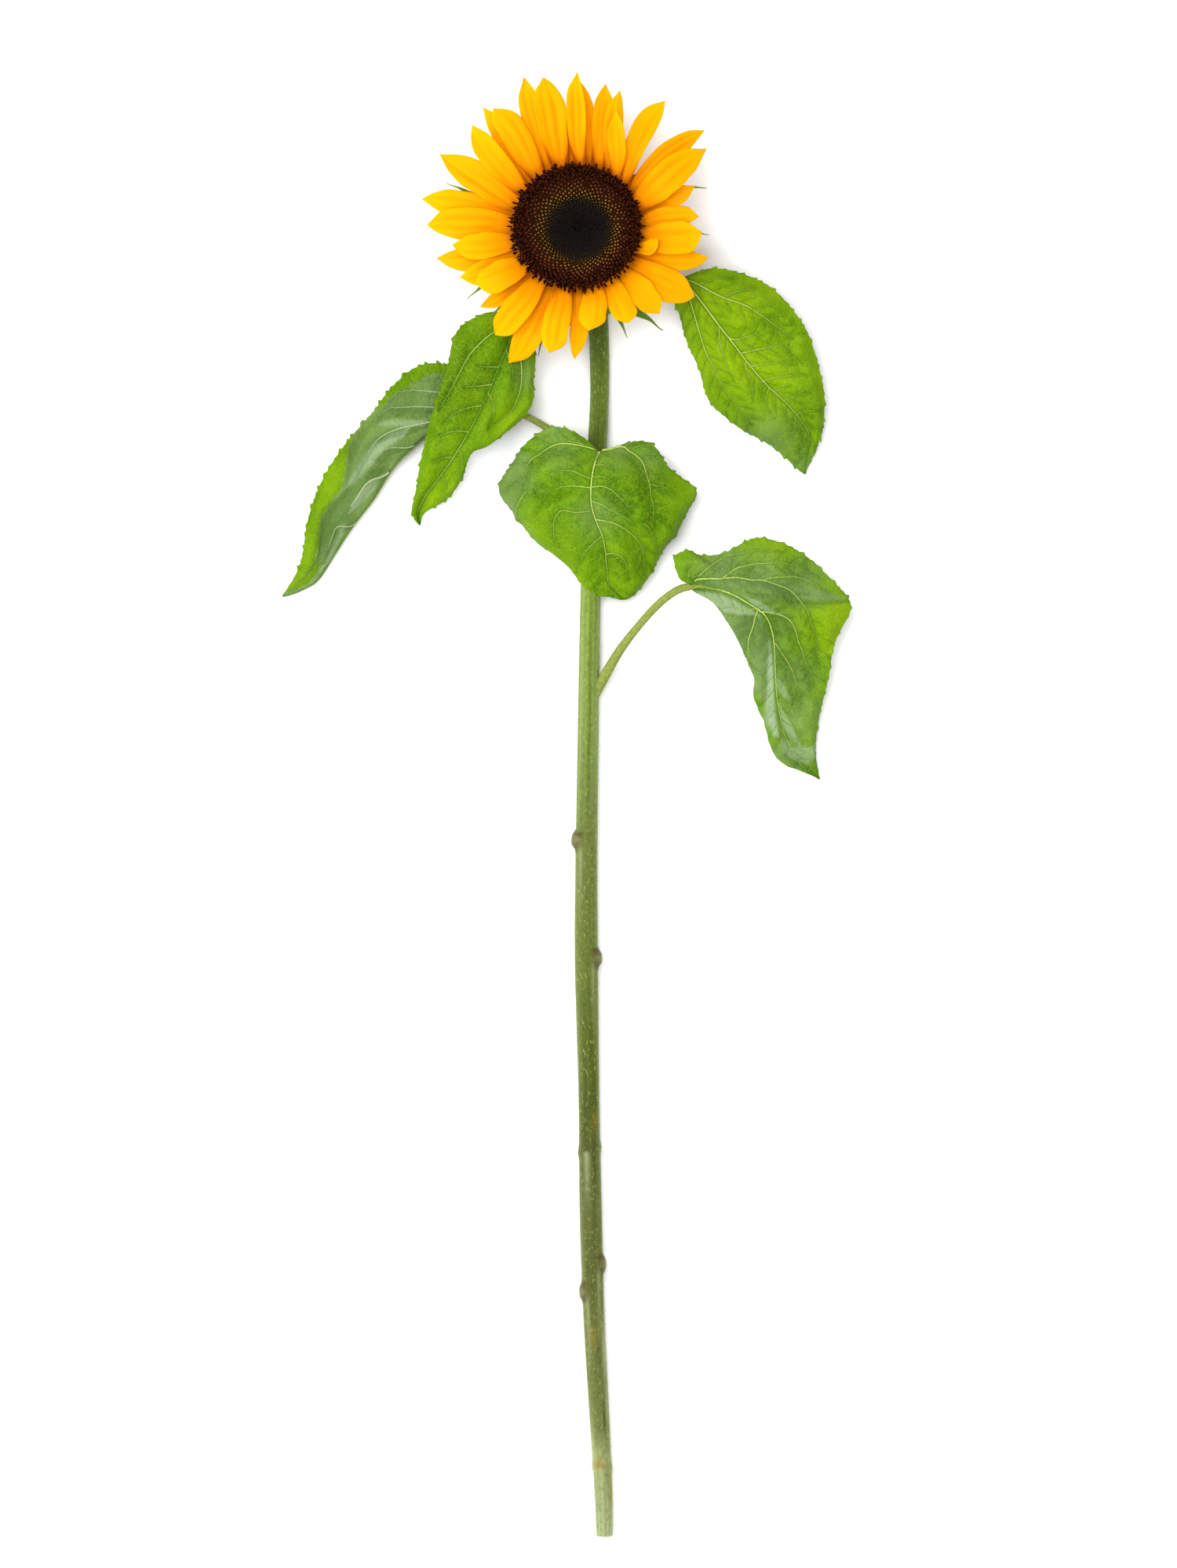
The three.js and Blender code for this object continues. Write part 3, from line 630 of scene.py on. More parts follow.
def floret_material():
    """Disc florets: near black in the eye, olive with gold tips round it, then brown buds with
    tan tips, and dark maroon open florets with dusty tips at the rim."""
    m = Nodes("disc florets", 0.8, 0.03)
    wander = m.product(m.math("SUBTRACT", "chance", 0.5), 0.06)
    reach = m.math("ADD", "reach", wander)
    low = m.tones(
        reach,
        (0.0, 15, 11, 10), (0.3, 17, 13, 12), (0.42, 20, 15, 10), (0.5, 34, 22, 4),
        (0.58, 40, 20, 3), (0.7, 38, 13, 3), (0.85, 40, 11, 3), (1.0, 56, 16, 4),
    )
    high = m.tones(
        reach,
        (0.0, 34, 28, 27), (0.34, 42, 35, 33), (0.43, 56, 46, 28), (0.48, 100, 74, 28),
        (0.55, 142, 98, 38), (0.63, 112, 68, 34), (0.71, 88, 44, 26), (0.8, 92, 40, 24),
        (0.9, 96, 38, 18), (1.0, 116, 50, 18),
    )
    lit = m.product(m.rise("tip", 0.85, 0.98), m.inverse(m.rise("chance", 0.6, 1.0)))
    dull = m.product(m.rise("chance", 0.3, 0.8), m.rise("reach", 0.7, 0.82))
    m.bump(m.noise(m.place, 1400, 2, 0.6), 0.0001)
    return m.finish(
        m.coats(m.blend(lit, low, high), (dull, 1.0, 24, 7, 3), ("dust", 0.8, 138, 72, 32))
    )


LEAF = leaf_material()
RAY = ray_material()
BRACT = bract_material()
RECEPTACLE = receptacle_material()
STEM = stem_material()
FLORET = floret_material()

# ------------------------------------------------------------------ stem

# Centre line: x, y, height of the centre and radius.
STEM_LINE = [
    (14.2, -666.4, 4.1, 4.1), (13.6, -643.6, 4.6, 4.6), (11.6, -607.6, 5.0, 5.0),
    (9.0, -560, 5.5, 5.5), (7.4, -510, 5.7, 5.7), (6.5, -465, 5.3, 5.3), (6.0, -430, 5.4, 5.4),
    (5.0, -375, 5.9, 5.9), (4.9, -330, 5.7, 5.7), (5.6, -270, 5.4, 5.4), (6.4, -215, 5.2, 5.2),
    (7.6, -165, 5.0, 5.0), (9.6, -125, 4.8, 4.8), (11.4, -90, 4.7, 4.7), (11.6, -68, 4.9, 4.9),
    (10.9, -46, 5.6, 5.2), (9.6, -30, 7.2, 5.4), (7, -16, 11.2, 5.8), (4, -6.5, 16.4, 6.2),
    (2.4, -2.4, 21, 6.8), (2.4, -2.4, 27.5, 7.6),
]
# Scars of fallen leaves: y, side of the stem (-1 left, 1 right), height of the scar.
LEAF_SCARS = [(-312, -1, 2.5), (-372, 1, 2.1), (-528, 1, 1.7), (-542, -1, 1.6)]
SCAR_LENGTH = 4.0
# Rings round the stem where leaves once stood: y, swelling, width, brownness, paleness below it.
STEM_RINGS = [(-470, 0.7, 2.4, 0.08, 0.6), (-631, 0.5, 2.2, 0.12, 0.3)]
# Marks on the upper side: kind, place across from -1 at the left to 1, y, width, half length and
# amount.
STEM_MARKS = [
    ("ochre", -0.35, -630, 0.45, 2.6, 0.8), ("ochre", 0.3, -631, 0.3, 1.6, 0.4),
    ("ochre", 0.84, -643, 0.14, 9, 0.9), ("dark", 0.5, -606, 0.14, 9, 0.7),
    ("dark", 0.4, -575, 0.3, 8, 0.35), ("dark", 0.45, -636, 0.14, 7, 0.35),
    ("pale", 0.8, -572, 0.2, 12, 0.5), ("pale", 0.85, -600, 0.14, 9, 0.4),
    ("pale", -0.9, -625, 0.3, 16, 0.45), ("ochre", -0.1, -565, 0.4, 5, 0.3),
    ("dark", 0.3, -505, 0.3, 12, 0.3), ("ochre", 0.8, -410, 0.12, 24, 0.35),
    ("dark", 0.1, -452, 0.4, 12, 0.4), ("ochre", 0.5, -455, 0.3, 6, 0.35),
    ("dark", 0.2, -240, 0.1, 50, 0.5), ("pale", 0.6, -250, 0.2, 50, 0.25),
    ("pale", -0.6, -240, 0.25, 50, 0.2), ("dark", -0.1, -95, 0.3, 30, 0.3),
]
STEM_SIDES, STEM_STEPS = 56, 460
STEM_RIBS = 11
# How deep the ribs are, by y.
RIB_DEPTHS = [
    (-666, 0.6), (-640, 0.5), (-620, 0.12), (-340, 0.15), (-280, 1.0), (-120, 1.0), (-60, 0.3),
]
RIB_HEIGHT = 0.15
STEM_UNEVENNESS = 0.22
SCAR_RIMS = ((3.2, 1.5, 1.0), (-3.4, 1.7, 0.8))  # y from the scar's middle, width, darkness
CUT_RINGS, CUT_SIDES = 9, 40
CUT_RIM, CUT_MIDDLE = 0.93, 0.08  # shares of the stem's radius
CUT_UNEVENNESS = 0.18
CUT_SINK = 0.6
HAIRS = 4200
HAIR_SPAN = (0.004, 0.95)  # shares of the stem between which it is hairy
HAIR_RADIUS, HAIR_LENGTH = (0.035, 0.06), (0.7, 1.9)
HAIR_STRAY, HAIR_LEAN = 0.25, 0.2
LOWEST = 0.02  # of any point of the stem, over the surface that it lies on


def stem_surface():
    """Rings round the stem's line. A ring's radius at the angle a is the line's plus ribs, noise,
    scars and rings: r + 0.15 depth sign(c) |c|^0.7, c being cos(11 a + drift), + bump side^3
    exp(-(d / 4)^4) for a scar at the distance d, + swell exp(-(d / width)^2) for a ring."""
    rng = np.random.default_rng(STEM_SEED)
    along = np.linspace(0, 1, STEM_STEPS)
    line = smooth_line(STEM_LINE, along)
    centre, radius = line[:, :3], line[:, 3:]
    angle = turn_angles(STEM_SIDES)
    above = np.sin(angle) > 0
    y = centre[:, 1:2]
    ribs = np.cos(STEM_RIBS * angle + 0.6 * np.sin(9 * along)[:, None])
    ribs = np.sign(ribs) * np.abs(ribs) ** 0.7 * read(RIB_DEPTHS, y)
    unevenness = soft_noise(rng, (STEM_STEPS, STEM_SIDES), 9, STEM_UNEVENNESS)
    reach = radius + RIB_HEIGHT * ribs + unevenness
    tones = {kind: np.zeros_like(reach) for kind in ("ochre", "dark", "pale", "brown")}

    def marked(kind, amount):
        """Brings a tone up to an amount where it is lower."""
        tones[kind] = np.maximum(tones[kind], amount)

    for kind, across, mark_y, wide, half_length, amount in STEM_MARKS:
        off = ((np.cos(angle) - across) / wide) ** 2 + ((y - mark_y) / half_length) ** 2
        marked(kind, amount * np.exp(-off) * above)
    for scar_y, side, bump in LEAF_SCARS:
        flanking = np.maximum(0, side * np.cos(angle)) ** 3
        near = np.exp(-(((y - scar_y) / SCAR_LENGTH) ** 4))
        reach = reach + bump * flanking * near
        rims = sum(dark * bell(y - scar_y - off, width) for off, width, dark in SCAR_RIMS)
        marked("brown", np.minimum(1.0, flanking**0.5 * (1.9 * rims + 0.4 * near)))
        trace = bell(side * np.cos(angle) - 0.55, 0.16) * above
        down = np.clip((scar_y - y) / 6, 0, 1) * (1 - np.clip((scar_y - y - 6) / 40, 0, 1))
        marked("pale", np.maximum(0.3 * flanking * near, 0.4 * trace * down))
    for ring_y, swell, width, browning, paling in STEM_RINGS:
        wander = 1.5 * np.sin(angle + ring_y) + 0.6 * np.sin(3 * angle)
        away = (y - ring_y - wander) / width
        marked("brown", browning * np.exp(-2 * (away - 0.6) ** 2))
        below = np.where(y < ring_y, 1 - np.clip((ring_y - y) / 32, 0, 1), 0)
        below = below * bell(angle - 1.9, 0.3)
        marked("pale", paling * below)
        reach = reach + swell * bell(away) - 0.35 * below
    level = np.clip(stem_share(centre[:, 1]), 0, 1)
    # How near each place lies to the stem's two sides, seen from above, for the painted sheen
    # there.
    flank = np.abs(np.cos(angle)) ** 4 * np.ones_like(reach)
    # How low each place lies between the ribs, for the painted shade in the grooves.
    groove = 0.5 - 0.5 * ribs
    body = pipe(centre, reach, STEM_SIDES, level=level, groove=groove, flank=flank, **tones)
    # The cut end: its fan, whose hub is the last point but one, is the pith.
    points = len(body["points"])
    body["values"]["cut"] = np.where(np.arange(points) == points - 2, 1.0, 0.0)
    pith = cut_face(centre[0], unit(centre[0] - centre[1]), radius[0, 0])
    whole = joined([body, pith, stem_hairs(rng)])
    whole["points"][:, 2] = np.maximum(whole["points"][:, 2], LOWEST)
    return whole


def cut_face(centre, outward, radius):
    """The pale pith at the cut end: a shallow uneven button. At the share s of the stem's radius
    its height is 0.25 + 0.35 (1 - s^2) plus noise, and its rim is sunk into the stem."""
    rng = np.random.default_rng(CUT_SEED)
    share = np.linspace(CUT_RIM, CUT_MIDDLE, CUT_RINGS)[:, None]
    angle = turn_angles(CUT_SIDES)[None, :]
    side = unit(np.cross(outward, [0, 0, 1.0]))
    upward = np.cross(side, outward)
    unevenness = CUT_UNEVENNESS * rng.standard_normal((CUT_RINGS, CUT_SIDES))
    height = 0.25 + 0.35 * (1 - share**2) + unevenness
    height[0] = -CUT_SINK
    ring = (
        centre
        + (radius * share * np.cos(angle))[..., None] * side
        + (radius * share * np.sin(angle))[..., None] * upward
        + height[..., None] * outward
    )
    count = CUT_RINGS * CUT_SIDES
    faces = [
        grid_faces(CUT_RINGS, CUT_SIDES, wrap=True),
        fan(count, count - CUT_SIDES, CUT_SIDES, back=True),
        fan(count + 1, 0, CUT_SIDES),
    ]
    points = np.vstack([ring.reshape(-1, 3), centre + 0.5 * outward, centre - CUT_SINK * outward])
    return turned_out(surface(points, faces, cut=1.0))


def spike():
    """A three-sided needle of radius 1 at its root and length 1 along Z, closed at its root."""
    points = np.vstack([circle(turn_angles(3)), [0, 0, 1]])
    return surface(points, [np.array([[0, 1, 3], [1, 2, 3], [2, 0, 3], [2, 1, 0]])])


def facing(directions, spin):
    """Matrices that turn +Z to each direction, after a spin about it."""
    z = unit(directions)
    helper = np.where(np.abs(z[:, 2:]) < 0.9, [[0, 0, 1.0]], [[1.0, 0, 0]])
    x = unit(np.cross(helper, z))
    y = np.cross(z, x)
    c, s = np.cos(spin)[:, None], np.sin(spin)[:, None]
    return np.stack([x * c + y * s, y * c - x * s, z], -1)


def stem_hairs(rng):
    """Short stiff hairs that stand out of the stem, leaning a little towards its cut end."""
    along = rng.uniform(*HAIR_SPAN, HAIRS)
    line = smooth_line(STEM_LINE, along)
    tangent = unit(smooth_line(STEM_LINE, along + 0.001)[:, :3] - line[:, :3])
    across = unit(np.stack([tangent[:, 1], -tangent[:, 0], 1e-6 + 0 * along], -1))
    upward = np.cross(across, tangent)
    angle = rng.uniform(-0.25 * np.pi, 1.25 * np.pi, HAIRS)[:, None]
    outward = across * np.cos(angle) + upward * np.sin(angle)
    places = line[:, :3] + outward * line[:, 3:]
    lean = outward + HAIR_STRAY * rng.standard_normal((HAIRS, 3)) - HAIR_LEAN * tangent
    thick = rng.uniform(*HAIR_RADIUS, HAIRS)
    length = rng.uniform(*HAIR_LENGTH, HAIRS)
    turns = facing(lean, 0 * along) * np.stack([thick, thick, length], -1)[:, None, :]
    return repeated(spike(), places, turns, np.ones(HAIRS), hair=np.ones(HAIRS), level=along)


# ------------------------------------------------------------------ disc


# By radius: the height of the florets' tops, and how far the closed ones stand apart, lean, stand
# up and are wide over their gap, then how far the open ones stand apart and lean and their size.
DISC_TOPS = [
    (0, 46.0), (9, 46.2), (17, 47.0), (23, 47.3), (28, 47.4), (31, 47.8), (34, 46.6), (36, 45.2),
]
BUD_GAPS = [(0, 0.9), (10, 0.95), (13.5, 1.15), (16.5, 1.6), (20, 2.0), (27.6, 2.1)]
BUD_LEANS = [(0, 0), (4, -0.35), (10, -0.8), (15, -0.9), (19, -0.45), (23, 0.0), (28, 0.15)]
BUD_HEIGHTS = [(0, 1.2), (8, 1.9), (14, 2.4), (18, 2.1), (28, 1.9)]
BUD_WIDTHS = [(0, 0.5), (20, 0.5), (28, 0.48)]
OPEN_GAPS = [(25, 1.95), (31.5, 1.85), (35.4, 2.3)]
OPEN_LEANS = [(25, 0.05), (29, 0.2), (32, 0.55), (35, 1.1)]
OPEN_SIZES = [(25.5, 0.75), (28, 1.0)]
OPEN_INNER, OPEN_OUTER = 25.6, 35.1
OPEN_HEIGHT = 3.0
BUD_STRAY, OPEN_STRAY = 0.09, 0.42
EYE_CENTRE = (3.2, -2.3)
DISC_CENTRE = (-0.3, -0.8)


def bud(sides, outline):
    """A closed bud: rings of (radius, height) and a point at the top."""
    angle = turn_angles(sides)
    rings = np.array([circle(angle, r, z) for r, z in outline[:-1]])
    count = len(rings) * sides
    points = np.vstack([rings.reshape(-1, 3), [0, 0, outline[-1][1]]])
    tip = (points[:, 2] - points[:, 2].min()) / np.ptp(points[:, 2])
    floor = np.arange(sides)[::-1][None]
    faces = [grid_faces(len(rings), sides, wrap=True), fan(count, count - sides, sides), floor]
    return surface(points, faces, tip=tip, dust=0.0)


def open_floret():
    """A five-lobed corolla, a thick dark anther column that stands out of it, two short forks."""
    angle = turn_angles(10)
    lobe = np.tile([1.0, 0.0], 5)
    rings = [
        circle(angle, 0.42, 0.0),
        circle(angle, 0.52 + 0.06 * lobe, 1.5),
        circle(angle, 0.5 + 0.56 * lobe, 2.0 + 0.5 * lobe),
    ]
    tip = np.concatenate([np.zeros(10), np.full(10, 0.6), 0.85 + 0.15 * lobe, [0.2]])
    faces = [grid_faces(3, 10, wrap=True), fan(30, 20, 10), np.arange(10)[::-1][None]]
    crown = surface(np.vstack([*rings, [[0, 0, 1.6]]]), faces, tip=tip, dust=0.0)
    column = bud(5, [(0.36, 1.2), (0.44, 2.3), (0.3, 3.0), (0.0, 3.6)])
    column["values"]["tip"] = 0.9 * (column["points"][:, 2] > 2.7)
    forks = []
    for side in (-1, 1):
        fork = spike()
        fork["points"] = fork["points"] * [0.15, 0.15, 1.1] + [0, 0, 3.0]
        fork["points"][3, 0] += 0.8 * side
        fork["values"] = {"tip": np.ones(4), "dust": np.ones(4)}
        forks.append(fork)
    return joined([crown, column, *forks])


def spread(inner, outer, gaps):
    """Radii of the florets between two radii, one for each turn by the golden angle: the ring of
    radius r and width dr holds 2 pi r dr / (0.866 gap^2) of them."""
    radius = np.linspace(inner, outer, 2000)
    density = 2 * np.pi * radius / (0.866 * read(gaps, radius) ** 2)
    held = np.concatenate([[0], np.cumsum((density[1:] + density[:-1]) / 2 * np.diff(radius))])
    return np.interp(np.arange(int(held[-1])) + 0.5, held, radius)


def standing(radius, lean, rng, stray):
    """Tops, directions and matrices of florets, the nth at the golden angle times n, each leaning
    out from the axis by its own angle, or in towards it where the angle is below 0."""
    count = len(radius)
    angle = np.arange(count) * GOLDEN_ANGLE
    wander = rng.normal(0, 1, (2, count)) * stray
    drift = 1 - radius / DISC_RADIUS
    x = DISC_CENTRE[0] + radius * np.cos(angle) + drift * EYE_CENTRE[0] + wander[0]
    y = DISC_CENTRE[1] + radius * np.sin(angle) * DISC_SQUASH + drift * EYE_CENTRE[1] + wander[1]
    upward = np.array([0, 0, 1.0]) * np.cos(lean)[:, None]
    direction = circle(angle) * np.sin(lean)[:, None] + upward
    direction = unit(direction + rng.normal(0, 0.06, (count, 3)))
    tops = np.stack([x, y, disc_height(radius) + rng.normal(0, 0.12, count)], -1)
    turns = facing(direction, rng.uniform(0, 2 * np.pi, count))
    return tops, direction, turns


def planted(template, radius, tops, direction, height, turns, sizes, rng):
    """Copies of a floret with their roots at a height under their tops, each with its own reach
    from the axis and a number drawn by chance."""
    roots = tops - direction * height[:, None]
    chance = rng.uniform(0, 1, len(radius))
    return repeated(template, roots, turns, sizes, reach=radius / DISC_RADIUS, chance=chance)


def bud_florets():
    """The closed florets. In the eye they are slim, close and lie in towards the middle, and
    outside it they stand up and apart."""
    rng = np.random.default_rng(BUD_SEED)
    radius = spread(0.3, BUD_RADIUS - 0.3, BUD_GAPS)
    count = len(radius)
    tops, direction, turns = standing(radius, read(BUD_LEANS, radius), rng, BUD_STRAY)
    tall = read(BUD_HEIGHTS, radius)
    wide = read(BUD_WIDTHS, radius) * read(BUD_GAPS, radius)
    shaped = turns * np.stack([wide, wide, tall], -1)[:, None, :]
    template = bud(6, [(0.85, -0.4), (0.95, 0.25), (0.7, 0.74), (0.38, 0.94), (0.0, 1.0)])
    return planted(template, radius, tops, direction, tall, shaped, np.ones(count), rng)


def open_florets():
    """The open florets of the rim. They lean out more and more towards the edge, and stand higher
    and lower by chance, so that the rim looks tufted."""
    rng = np.random.default_rng(OPEN_SEED)
    radius = spread(OPEN_INNER, OPEN_OUTER, OPEN_GAPS)
    count = len(radius)
    lean = read(OPEN_LEANS, radius) + rng.normal(0, 0.26, count)
    tops, direction, turns = standing(radius, lean, rng, OPEN_STRAY)
    size = rng.uniform(0.8, 1.4, count) * read(OPEN_SIZES, radius)
    tops[:, 2] += rng.normal(0.2, 0.5, count)
    return planted(open_floret(), radius, tops, direction, OPEN_HEIGHT * size, turns, size, rng)


def disc_height(radius):
    """Height of the tops of the disc florets, from the eye out to the rim."""
    return read(DISC_TOPS, radius)


def disc_bed(profile, closed):
    """The dark bed that the florets stand on."""
    bed = turned(profile, closed, tip=0.0, chance=0.5)
    x, y = bed["points"][:, 0], bed["points"][:, 1] / DISC_SQUASH
    bed["values"]["reach"] = np.hypot(x, y) / DISC_RADIUS
    return bed


# ------------------------------------------------------------------ ray florets

# Each ray: bearing of its root in degrees, middle of its spine, tip, half widths on the left and on
# the right of the spine, tier (0 in front), where it is widest, how blunt its tip is, and in
# millimetres the rise of both edges over the spine, the rise of the right edge and fall of the
# left one, and the rise of the tip.
RAYS = [
    (86, (-0.5, 55), (-0.7, 78), 5.0, 4.8, 0, 0.55, 1.4, 0.9, 0.3, 1.0),
    (79, (4.6, 54), (3, 74), 4.4, 4.2, 3, 0.5, 1.4, 0.3, -0.5, 0.0),
    (69, (13, 52), (15.5, 72), 5.0, 5.6, 2, 0.5, 1.4, 1.4, 0.0, 0.5),
    (58, (19.2, 50), (20.5, 68.8), 5.0, 4.6, 1, 0.5, 1.4, -0.5, -0.6, 0.5),
    (50, (20.8, 43), (19.3, 58), 4.6, 4.4, 0, 0.45, 1.5, 0.9, 0.4, 0.6),
    (42, (31, 44), (44.2, 64), 5.8, 6.0, 1, 0.62, 1.4, 0.7, 0.8, 1.0),
    (33, (46, 37), (64.5, 49.6), 5.0, 5.8, 2, 0.5, 1.4, -0.5, 0.4, 0.0),
    (20, (46.5, 25), (65, 40), 8.0, 8.4, 0, 0.48, 1.5, 0.6, -0.8, 1.4),
    (10, (47, 13.5), (60, 19.6), 4.8, 4.8, 3, 0.5, 1.4, 0.6, 0.4, 0.0),
    (2, (48, 5), (62, 5.6), 5.6, 5.6, 2, 0.5, 1.5, -0.6, 0.3, 0.6),
    (350, (48.5, -6.4), (63.6, -3.6), 8.6, 8.6, 1, 0.55, 1.6, 0.5, 0.5, 0.8),
    (338, (36, -11), (42, -8), 3.9, 3.4, 0, 0.55, 1.6, 1.4, 1.4, 2.5),
    (333, (50, -17), (67, -17.5), 5.2, 5.2, 4, 0.5, 1.4, -0.5, -0.4, 0.0),
    (324, (44, -29), (60, -34.6), 8.2, 8.4, 3, 0.52, 1.5, -0.7, 0.6, -0.6),
    (312, (33, -34), (42.5, -43.8), 7.0, 6.6, 2, 0.5, 1.9, 0.8, 0.6, 0.0),
    (301, (21.8, -38.4), (25, -49.6), 6.4, 6.6, 1, 0.52, 2.5, -0.7, 0.8, 0.5),
    (288, (8.4, -42.3), (7.6, -53.3), 6.9, 6.9, 0, 0.5, 2.1, -1.2, 0.5, 0.0),
    (271, (0.8, -51), (0.5, -67.5), 4.6, 4.6, 2, 0.5, 1.4, 0.6, 0.0, 0.0),
    (259, (-10, -50), (-13, -64.5), 7.0, 7.2, 0, 0.55, 1.6, -0.9, -0.5, 0.6),
    (248, (-23, -52), (-34, -69.5), 7.2, 7.2, 3, 0.5, 1.4, 0.6, 0.0, 0.0),
    (236, (-30, -43), (-41.2, -55.3), 6.8, 7.4, 1, 0.52, 2.1, 0.7, -0.6, 0.6),
    (226, (-35, -33), (-48.3, -42), 4.5, 4.5, 3, 0.5, 1.4, 1.5, 1.0, 1.2),
    (217, (-38.5, -25.2), (-51.4, -28.9), 7.4, 7.6, 0, 0.55, 1.9, -0.8, -0.5, 0.4),
    (208, (-44, -22), (-59, -26.5), 6.0, 6.0, 2, 0.5, 1.4, 0.6, 0.4, 0.0),
    (203, (-52, -16), (-71, -17.5), 6.2, 6.2, 4, 0.5, 1.4, -0.4, -0.4, 0.0),
    (195, (-48, -10.5), (-62.5, -8.5), 6.2, 7.2, 1, 0.5, 1.5, 0.7, 0.3, 0.6),
    (180, (-56, 2), (-76, 2), 8.2, 8.2, 2, 0.5, 1.4, -0.6, -0.4, 0.4),
    (170, (-57, 11.6), (-78.5, 13), 7.2, 6.6, 3, 0.52, 1.4, 0.5, 0.4, 0.6),
    (160, (-48.6, 22.6), (-69, 37), 7.4, 8.0, 1, 0.5, 1.4, 0.6, -0.7, 1.0),
    (146, (-42, 34.8), (-52.6, 51.2), 6.6, 6.2, 0, 0.5, 1.4, 0.9, 0.6, 1.4),
    (136, (-36, 43), (-48, 60), 5.2, 5.2, 2, 0.5, 1.4, 0.4, 0.3, 0.0),
    (127, (-31, 45), (-41, 60.6), 7.2, 7.4, 1, 0.5, 1.7, -0.7, -0.6, 0.8),
    (116, (-21, 53), (-28.5, 75), 6.0, 6.0, 2, 0.5, 1.4, 0.7, 0.5, 0.6),
    (106, (-13, 54), (-18.5, 75), 7.6, 8.0, 1, 0.6, 1.5, 0.8, -0.5, 0.8),
    (95, (-4.5, 46), (-5.5, 58), 3.2, 3.2, 3, 0.5, 1.4, 0.4, 0.0, 0.0),
]
RAY_ROWS, RAY_COLUMNS = 56, 23
RAY_TUCK = 2.6  # how far a root reaches in under the open florets
TIER_SPREAD = 0.75  # the tiers part by this much more than the step of their roots
RAY_HOOK, RAY_SWAY, RAY_RAGGED = 1.3, 0.5, 0.075  # sideways: tip, line, and share of the width
GUTTER_RISE = 1.6  # of a root's edges over its spine
VALLEY_PLACES, VALLEY_DEPTHS, VALLEY_WIDTH = (0.28, 0.4), (0.1, 0.75), 0.16
EDGE_WAVE, RAY_UNEVENNESS = 0.55, 0.55
RAY_THICKNESS, ROOT_THICKNESS = 0.45, 0.3


def ray_outline(along, widest, blunt):
    """Half width over its largest. It grows as a sine from 0.52 at the root to 1 at its widest,
    then falls as 0.03 + 0.97 cos(90 degrees f^blunt) (1 - 0.3 f^8), f being the share of the way
    from there to the tip, which is a little drawn out."""
    swell = 0.52 + 0.48 * np.sin(np.pi / 2 * np.clip(along / widest, 0, 1))
    fall = np.clip((along - widest) / (1 - widest), 0, 1)
    taper = 0.03 + 0.97 * np.cos(np.pi / 2 * fall**blunt) * (1 - 0.3 * fall**8)
    return np.where(along < widest, swell, taper)


def whorl_height(x, y, depth):
    """A shallow rise from the root, then a fall that is deeper on the side of the stem:
    root - depth + rise sin(pi out) - droop out |out|, out being (r - root radius) / span."""
    radius = np.hypot(x, y)
    out = (radius - RAY_ROOT_RADIUS) / RAY_SPAN
    to_stem = (1 - y / radius) / 2
    droop = mix(DROOP_TOP, DROOP_STEM_SIDE, to_stem)
    rise = mix(RISE_TOP, RISE_STEM_SIDE, to_stem)
    hump = np.sin(np.pi * np.clip(out, 0, 1))
    return RAY_ROOT_HEIGHT - depth + rise * hump - droop * out * np.abs(out)


def plan_spine(root, middle, tip, along):
    """The quadratic curve through root, middle and tip, and the direction to its right."""
    bend = 2 * np.array(middle) - (root + np.array(tip)) / 2
    s = along[:, None]
    centre = (1 - s) ** 2 * root + 2 * s * (1 - s) * bend + s**2 * np.array(tip)
    heading = unit(2 * (1 - s) * (bend - root) + 2 * s * (np.array(tip) - bend))
    return centre, np.stack([heading[:, 1], -heading[:, 0]], -1)


def grid_normal(grid):
    """The normal at each point of a grid, the sideways direction crossed with the lengthwise."""
    return unit(np.cross(np.gradient(grid, axis=1), np.gradient(grid, axis=0)))


def thickened(middle, thickness):
    """Two grids on both sides of a middle one, each half the thickness away along the normal."""
    half = (np.broadcast_to(thickness, middle.shape[:2]) / 2)[..., None] * grid_normal(middle)
    return middle + half, middle - half


